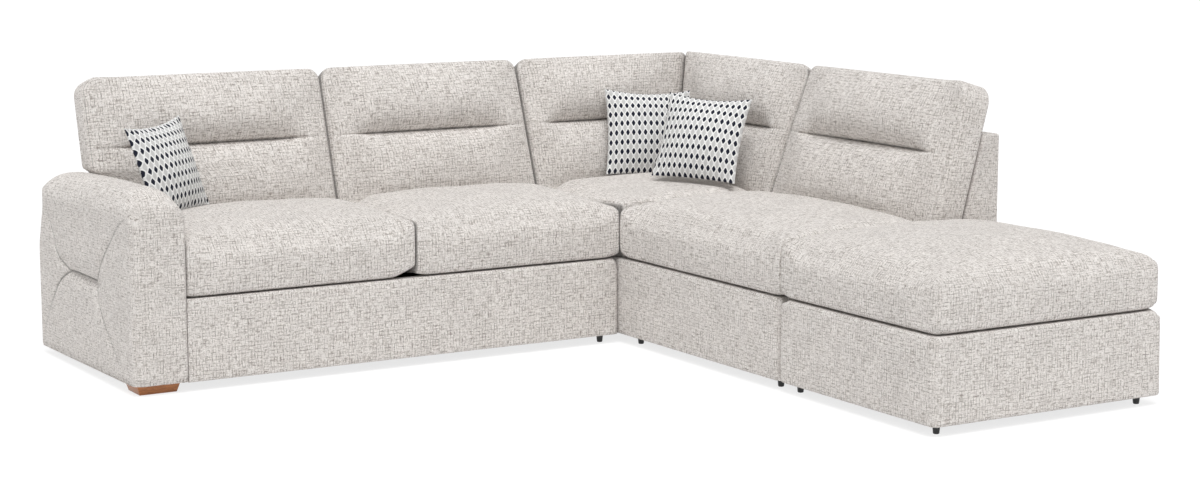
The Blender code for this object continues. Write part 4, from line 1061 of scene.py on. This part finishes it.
def stool_base():
    """One wrapped ring of base panels round the footstool, open in the middle over its frame."""
    width, depth, height = STOOL_LENGTH, SOFA_DEPTH, PANEL_HEIGHT
    inner = PANEL - 0.0002
    tables = [
        end_loops(span, 0.020, 0.034, 0.006, (inner, 0.0, 0.010), (span - inner, 0.0, 0.010))
        for span in (width, depth)
    ]
    bm = grid_block((*tables, PANEL_ROWS))
    share, _ = lay_cloth(bm, (width, depth, height), 2, (4.1, 2.3))

    def is_inside(face):
        middle = sum((vert[share] for vert in face.verts), Vector()) / len(face.verts)
        x, y = middle.x * width, middle.y * depth
        flat = all(vert[share].z in (0.0, 1.0) for vert in face.verts)
        return flat and inner < x < width - inner and inner < y < depth - inner

    bmesh.ops.delete(bm, geom=[face for face in bm.faces if is_inside(face)], context="FACES")
    bmesh.ops.bridge_loops(bm, edges=[edge for edge in bm.edges if edge.is_boundary])
    for vert in bm.verts:
        u, s, h = vert[share]
        x, y, down = u * width, s * depth, (1 - h) * height
        swell = 0.0030 * dome(h, 4)
        soft_x = 1 - smooth_step(min(y, depth - y), 0.0, 0.080)
        soft_y = 1 - smooth_step(min(x, width - x), 0.0, 0.080)
        wide = 0.048 if x < width / 2 else 0.012
        x, down = rolled_ends(x, width, down, 0.009 + wide * soft_x, 0.011 + 0.8 * wide * soft_x)
        wide = 0.036 if y > depth / 2 else 0.012
        y, down = rolled_ends(y, depth, down, 0.009 + wide * soft_y, 0.011 + wide * soft_y)
        x, up = rolled_ends(x, width, height - down, 0.007, 0.009)
        y, up = rolled_ends(y, depth, up, 0.007, 0.009)
        x, y = plan_rounded(x, y, width, depth, 0.026)
        x += {0.0: -swell, 1.0: swell}.get(u, 0.0) * dome(s, 10) * 0.2
        y += {0.0: -swell, 1.0: swell}.get(s, 0.0) * dome(u, 10)
        y += 0.006 * s * (1 - h) ** 1.5
        vert.co = (x, y, FOOT_TOP + up - BASE_HEM * (1 - h) ** 6)
    borders = ["footstool_%s_border" % side for side in ("front", "left", "rear", "right")]
    add_piece("footstool_base_wrap", bm, STOOL_RUN, "tweed_weave", borders)


# Back frames

BACK_EDGE = 0.009


def back_frame(name, node, run, start, end, seed, mitre=None):
    """The upholstered back: a wedge above the seat deck and the rear base panel under it."""
    span = end - start
    total = BACK_TOP - FOOT_TOP
    ledge = (BASE_TOP - FOOT_TOP) / total
    rows = loop_shares(total, 0.025, (0.0, 0.008, 0.004), (total, 0.024, 0.004))
    rows = sorted([row for row in rows if abs(row - ledge) > 0.01] + [ledge, ledge + 0.0005])
    tables = (
        end_loops(span, 0.025, 0.024, 0.004),
        loop_shares(PANEL * 3, 0.014, (0.0, 0.016, 0.004), (PANEL * 3, 0.020, 0.004)),
        rows,
    )
    bm = grid_block(tables)
    share, _ = lay_cloth(bm, (span, 0.16, total), 1, cloth_shift(seed))
    for vert in bm.verts:
        u, t, h = vert[share]
        up = h * total
        x, down = u * span, total - up
        above = h > ledge + 0.0002
        front = SEAT_DEPTH + max(FOOT_TOP + up - BASE_TOP, 0.0) * LEAN if above else SOFA_DEPTH - PANEL
        thick = SOFA_DEPTH - front
        y = t * thick
        reach = min(BACK_EDGE, 0.45 * thick)
        y, down = rolled_ends(y, thick, down, reach, BACK_EDGE)
        x, down = rolled_ends(x, span, down, BACK_EDGE, BACK_EDGE)
        y, low = rolled_ends(y, thick, total - down, 0.006, 0.008, (False, True))
        if above or t == 1:
            x, y = plan_rounded(x, y, span, thick, 0.012)
        s = front + y
        first = GAP - s if mitre == "start" else start
        last = s - GAP if mitre == "end" else end
        vert.co = (first + (last - first) * x / span, s - (0.0004 if t == 1 else 0.0), FOOT_TOP + low)
    add_piece(name, bm, run, "tweed_weave", (node,))


# Scatter cushions

SCATTER_FILL = 0.104
SCATTER_RIM = 0.0022
SCATTER_PUCKER = 0.0022
# Each cushion's half width, shift from the middle of its solid, and turn, lean and roll in degrees
SCATTERED = {
    "arm": (0.1625, (-0.003, 0.009, -0.0045), (34.0, 19.1, 3.0)),
    "corner_left": (0.1670, (-0.012, 0.0, -0.0110), (-22.0, 18.0, -1.9)),
    "corner_right": (0.1655, (-0.017, -0.034, -0.0100), (-54.5, 25.0, -2.8)),
}


def scatter_piece(side, seed):
    """A knife-edged pillow with pointed corners, set where the model's own solid leans."""
    node = "scatter_cushion_" + side
    low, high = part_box(node)
    half, shift, angles = SCATTERED[side]
    azimuth, lean, roll = (math.radians(angle) for angle in angles)
    turn = Matrix.Rotation(azimuth, 4, "Z") @ Matrix.Rotation(-lean, 4, "X") @ Matrix.Rotation(-roll, 4, "Y")
    whole = 2 * half
    table = end_loops(whole, 0.009, 0.02, 0.004)
    bm = grid_block((table, (0.0, 1.0), table))
    share, _ = lay_cloth(bm, (whole, 0.0, whole), 1, (seed * 0.0113, seed * 0.0071))
    for vert in bm.verts:
        u, w, v = vert[share]
        a, b = 2 * u - 1, 2 * v - 1
        edge_u, edge_v = dome(u, 2.0), dome(v, 2.0)
        fill = (edge_u * edge_v) ** 0.75
        x = a * half * (1 - 0.065 * edge_v * abs(a) ** 2)
        z = b * half * (1 - (0.115 if b > 0 else 0.040) * edge_u * abs(b) ** 2)
        rim = min(u, 1 - u, v, 1 - v) * whole
        along = x if abs(b) > abs(a) else z
        pucker = SCATTER_PUCKER * math.sin(along * 210 + seed * 2 + 1.3 * math.sin(along * 70 + seed))
        pucker *= bell(rim - 0.014, 0.016)
        thick = SCATTER_RIM + SCATTER_FILL / 2 * fill + (pucker if fill > 0 else 0.0)
        thick += slack(Vector((x, w, z)), 14.0, 0.004, seed) * fill
        vert.co = (x, (1 if w else -1) * thick, z)
    centre = (low + high) / 2 + Vector(shift)
    run = Matrix.Translation(centre) @ turn
    add_piece("scatter_%s_padded" % side, bm, run, "patterned_weave", (node,))


# Feet

# How far the block foot's toe is drawn in on each side
BLOCK_TAPER = 0.010


def glide_piece(node):
    """A turned glide: a thin flange, a tapered leg and a rounded toe."""
    low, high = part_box(node)
    centre = (low + high) / 2
    top = high.z
    profile = (
        (0.0001, 0.0), (0.0070, 0.0), (0.0090, 0.0008), (0.0100, 0.0030), (0.0112, 0.016),
        (0.0124, top - 0.0085), (0.0138, top - 0.0060), (0.0180, top - 0.0045), (0.0198, top - 0.0030),
        (0.0200, top - 0.0008), (0.0194, top), (0.0001, top),
    )
    bm = bmesh.new()
    verts = [bm.verts.new((radius, 0, z)) for radius, z in profile]
    for first, second in zip(verts, verts[1:]):
        bm.edges.new((first, second))
    bmesh.ops.spin(
        bm, geom=bm.verts[:] + bm.edges[:], cent=(0, 0, 0), axis=(0, 0, 1), angle=2 * math.pi,
        steps=32, use_merge=True,
    )
    bmesh.ops.remove_doubles(bm, verts=bm.verts, dist=0.0003)
    run = Matrix.Translation((centre.x, centre.y, 0))
    add_piece(node + "_turned", bm, run, "black_plastic", (node,))


def block_foot_piece():
    """The tapered oak block under the arm, with eased edges."""
    low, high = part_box("wooden_block_foot")
    centre = (low + high) / 2
    bm = bmesh.new()
    bmesh.ops.create_cube(bm, size=1)
    bmesh.ops.scale(bm, verts=bm.verts, vec=high - low)
    bmesh.ops.translate(bm, verts=bm.verts, vec=centre)
    for vert in bm.verts:
        if vert.co.z < centre.z:
            vert.co.x -= math.copysign(BLOCK_TAPER, vert.co.x - centre.x)
            vert.co.y -= math.copysign(BLOCK_TAPER, vert.co.y - centre.y)
    bmesh.ops.bevel(bm, geom=bm.edges[:], offset=0.0022, segments=3, profile=0.5, affect="EDGES", material=-1)
    piece = add_piece("oak_block_foot", bm, Matrix.Identity(4), "oak", ("wooden_block_foot",))
    piece.data.set_sharp_from_angle(angle=math.radians(30))


# Stage

WHITE = (1, 1, 1, 1)
# The floor's tone as the sofa sees it, and its tone and glow as the camera sees it
FLOOR_TONE = (0.86, 0.86, 0.86, 1)
FLOOR_SEEN = (0.25, 0.25, 0.25, 1)
FLOOR_GLOW = 0.78
ROOM_LIGHT = 0.60
KEY_LIGHT = 2.15
KEY_SPREAD = math.radians(34)
KEY_TURN = (math.radians(22), 0, math.radians(-27))
CAMERA_LENS = 72.92
CAMERA_SENSOR = 36


def shown_to(tree, kinds, plain, seen, output):
    """Shows one shader to the rays of these kinds and the plain one to all others."""
    path = tree.nodes.new("ShaderNodeLightPath")
    blend = tree.nodes.new("ShaderNodeMixShader")
    share = path.outputs[kinds[0]]
    for kind in kinds[1:]:
        either = tree.nodes.new("ShaderNodeMath")
        either.operation = "MAXIMUM"
        tree.links.new(share, either.inputs[0])
        tree.links.new(path.outputs[kind], either.inputs[1])
        share = either.outputs[0]
    for index, source in enumerate((share, plain, seen)):
        tree.links.new(source, blend.inputs[index])
    tree.links.new(blend.outputs[0], tree.nodes[output].inputs[0])


# Operators


class SofaOperator(bpy.types.Operator):
    """Base of the sofa's operators."""

    bl_options = {"REGISTER"}


class SOFA_OT_base_panels(SofaOperator):
    """Upholsters the base panels of the three modules"""

    bl_idname = "sofa.base_panels"
    bl_label = "Base panels"

    def execute(self, context):
        inner_back = SOFA_DEPTH - PANEL
        long_span, wing_span = 2 * SEAT_WIDTH - 2 * HAIR, END_WIDTH + inner_back - 2 * HAIR
        long_end, wing_end = place(X_JOIN, Y_CORNER, QUARTER), place(X_CORNER, Y_END)
        start, span = PANEL + HAIR, inner_back - PANEL - 2 * HAIR
        panels = (
            ("long_base_front", "left_front_border", LONG_RUN, HAIR, long_span, True, 0.004),
            ("long_base_end", "left_end_border", long_end, start, span, False, 0.0006),
            ("wing_base_front", "right_front_border", WING_RUN, HAIR - inner_back, wing_span, True, 0.003),
            ("wing_base_end", "right_end_border", wing_end, start, span, False, 0.0006),
        )
        for index, panel in enumerate(panels):
            panel_piece(*panel, seed=1.0 + index)
        stool_base()
        return {"FINISHED"}


class SOFA_OT_back_frames(SofaOperator):
    """Upholsters the three back frames behind the cushions"""

    bl_idname = "sofa.back_frames"
    bl_label = "Back frames"

    def execute(self, context):
        back_frame("long_back_frame", "left_back_cover", LONG_RUN, HAIR, 2 * SEAT_WIDTH - HAIR, 5.0)
        back_frame("wing_back_frame", "right_back_cover", WING_RUN, -SOFA_DEPTH, END_WIDTH, 6.0, "start")
        back_frame("corner_back_frame", "corner_back_cover", CORNER_RUN, HAIR, SOFA_DEPTH, 7.0, "end")
        return {"FINISHED"}


class SOFA_OT_seats(SofaOperator):
    """Makes the crowned seat cushions and the footstool's cushion"""

    bl_idname = "sofa.seats"
    bl_label = "Seat cushions"

    def execute(self, context):
        sizes = context.scene.sofa_sizes
        split = SEAT_WIDTH + 0.009
        rest = 2 * SEAT_WIDTH - split + 0.004
        seats = (
            ("left", LONG_RUN, 0.0, split, 11.0, ("arm", "split_left")),
            ("middle", LONG_RUN, split, rest, 12.0, ("split_right", "corner_left")),
            ("right", WING_RUN, -0.004, END_WIDTH + 0.004, 14.0, ("corner_right", "flush")),
            ("corner", CORNER_RUN, 0.008, SEAT_DEPTH - 0.012, 13.0, ("inner", "inner")),
        )
        for side, run, start, width, seed, ends in seats:
            name, node, front = "seat_%s_padded" % side, "seat_cushion_" + side, side != "corner"
            seat_piece(name, node, run, start, width, SEAT_DEPTH, seed, sizes.seat_crown, ends, front)
        seat_piece(
            "footstool_padded", "footstool_cushion", STOOL_RUN, 0.0, STOOL_LENGTH, SOFA_DEPTH, 15.0,
            sizes.stool_crown, ("flush", "free"), rear=True,
        )
        return {"FINISHED"}


class SOFA_OT_backs(SofaOperator):
    """Makes the five back cushions with their sewn channels"""

    bl_idname = "sofa.backs"
    bl_label = "Back cushions"

    def execute(self, context):
        split, corner, bend = SEAT_WIDTH + 0.018, 0.013, 0.060
        joined = 2 * SEAT_WIDTH + corner
        back_piece("left", LONG_RUN, 0.0, split, 21.0, (0.0, 0.004), (0.056, 0.045), over_arm=True)
        back_piece("middle", LONG_RUN, split, joined, 22.0, (0.004, 0.018))
        back_piece("corner_left", CORNER_RUN, corner, SEAT_DEPTH, 23.0, (0.018, 0.0), (0.045, 0.020), "end")
        back_piece("corner_right", WING_RUN, -SEAT_DEPTH, bend, 24.0, (0.0, -bend), (0.020, 0.060), "start")
        back_piece("right", WING_RUN, bend, END_WIDTH, 25.0, (-bend, 0.0), (0.034, 0.070), free_end=True)
        return {"FINISHED"}


class SOFA_OT_arm(SofaOperator):
    """Makes the padded arm with its pleat and sewn lines"""

    bl_idname = "sofa.arm"
    bl_label = "Arm"

    def execute(self, context):
        arm_piece()
        return {"FINISHED"}


class SOFA_OT_scatter_cushions(SofaOperator):
    """Makes the three printed scatter cushions"""

    bl_idname = "sofa.scatter_cushions"
    bl_label = "Scatter cushions"

    def execute(self, context):
        for index, side in enumerate(SCATTERED):
            scatter_piece(side, 31.0 + index)
        return {"FINISHED"}


class SOFA_OT_feet(SofaOperator):
    """Makes the turned glides and the oak block foot"""

    bl_idname = "sofa.feet"
    bl_label = "Feet"

    def execute(self, context):
        for node in sorted(frame["nodes"]):
            if node.startswith("glide_foot"):
                glide_piece(node)
        block_foot_piece()
        return {"FINISHED"}


class SOFA_OT_inner_frame(SofaOperator):
    """Finishes the rails, boards, springs and dust covers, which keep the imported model's shapes"""

    bl_idname = "sofa.inner_frame"
    bl_label = "Inner frame"

    def execute(self, context):
        slots = {part["node"]: part["material_slot"] for part in frame["record"]["subparts"]}
        for node, piece in frame["nodes"].items():
            if piece.hide_render:
                continue
            piece.data.materials.clear()
            piece.data.materials.append(finish_named(slots[node]))
        return {"FINISHED"}


class SOFA_OT_stage(SofaOperator):
    """Sets the floor, the lamps and the camera"""

    bl_idname = "sofa.stage"
    bl_label = "Stage"

    def execute(self, context):
        scene = context.scene
        scene.view_settings.view_transform = "Standard"
        bm = bmesh.new()
        bmesh.ops.create_circle(bm, cap_ends=True, segments=96, radius=30.0)
        mesh = bpy.data.meshes.new("studio_floor")
        bm.to_mesh(mesh)
        bm.free()
        floor = bpy.data.objects.new("studio_floor", mesh)
        scene.collection.objects.link(floor)
        made = Finish("studio_floor", 1.0, Specular_IOR_Level=0.0)
        made.shader.inputs["Base Color"].default_value = FLOOR_TONE
        pale = made.node("ShaderNodeBsdfDiffuse", values=[("Color", FLOOR_SEEN)]).outputs[0]
        glow = made.node("ShaderNodeEmission", values=[("Strength", FLOOR_GLOW)]).outputs[0]
        seen = made.node("ShaderNodeAddShader", [(0, pale), (1, glow)]).outputs[0]
        kinds = ["Is Camera Ray", "Is Glossy Ray"]
        shown_to(made.tree, kinds, made.shader.outputs[0], seen, "Material Output")
        mesh.materials.append(made.material)

        world = bpy.data.worlds.new("studio")
        world.use_nodes = True
        scene.world = world
        tree = world.node_tree
        room, white = tree.nodes["Background"], tree.nodes.new("ShaderNodeBackground")
        for shader, strength in ((room, ROOM_LIGHT), (white, 1.0)):
            shader.inputs[0].default_value = WHITE
            shader.inputs[1].default_value = strength
        kinds.append("Is Transmission Ray")
        shown_to(tree, kinds, room.outputs[0], white.outputs[0], "World Output")

        lamp = bpy.data.lights.new("key", "SUN")
        lamp.energy = KEY_LIGHT
        lamp.angle = KEY_SPREAD
        holder = bpy.data.objects.new("key", lamp)
        holder.rotation_euler = KEY_TURN
        scene.collection.objects.link(holder)

        eye = bpy.data.cameras.new("photo_view")
        eye.lens = CAMERA_LENS
        eye.sensor_width = CAMERA_SENSOR
        eye.clip_end = 200
        camera = bpy.data.objects.new("photo_view", eye)
        camera.location = CAMERA_AT
        camera.rotation_euler = (QUARTER - CAMERA_TILT, 0, -CAMERA_TURN)
        scene.collection.objects.link(camera)
        scene.camera = camera
        return {"FINISHED"}


STEPS = (
    SOFA_OT_stage,
    SOFA_OT_base_panels,
    SOFA_OT_back_frames,
    SOFA_OT_seats,
    SOFA_OT_backs,
    SOFA_OT_arm,
    SOFA_OT_scatter_cushions,
    SOFA_OT_feet,
    SOFA_OT_inner_frame,
)


class SOFA_PT_panel(bpy.types.Panel):
    """Sizes, colours and steps of the sofa"""

    bl_idname = "SOFA_PT_panel"
    bl_label = "Corner sofa"
    bl_space_type = "VIEW_3D"
    bl_region_type = "UI"
    bl_category = "Sofa"

    def draw(self, context):
        for group in (context.scene.sofa_sizes, context.scene.sofa_colours):
            for name in group.__annotations__:
                self.layout.prop(group, name)
        for step in STEPS:
            self.layout.operator(step.bl_idname)


CLASSES = (SofaSizes, SofaColours, *STEPS, SOFA_PT_panel)


def register():
    for made in CLASSES:
        bpy.utils.register_class(made)
    bpy.types.Scene.sofa_sizes = bpy.props.PointerProperty(type=SofaSizes)
    bpy.types.Scene.sofa_colours = bpy.props.PointerProperty(type=SofaColours)


def unregister():
    del bpy.types.Scene.sofa_colours
    del bpy.types.Scene.sofa_sizes
    for made in reversed(CLASSES):
        bpy.utils.unregister_class(made)


def main():
    register()
    for step in STEPS:
        group, name = step.bl_idname.split(".")
        getattr(getattr(bpy.ops, group), name)()


if __name__ == "__main__":
    main()
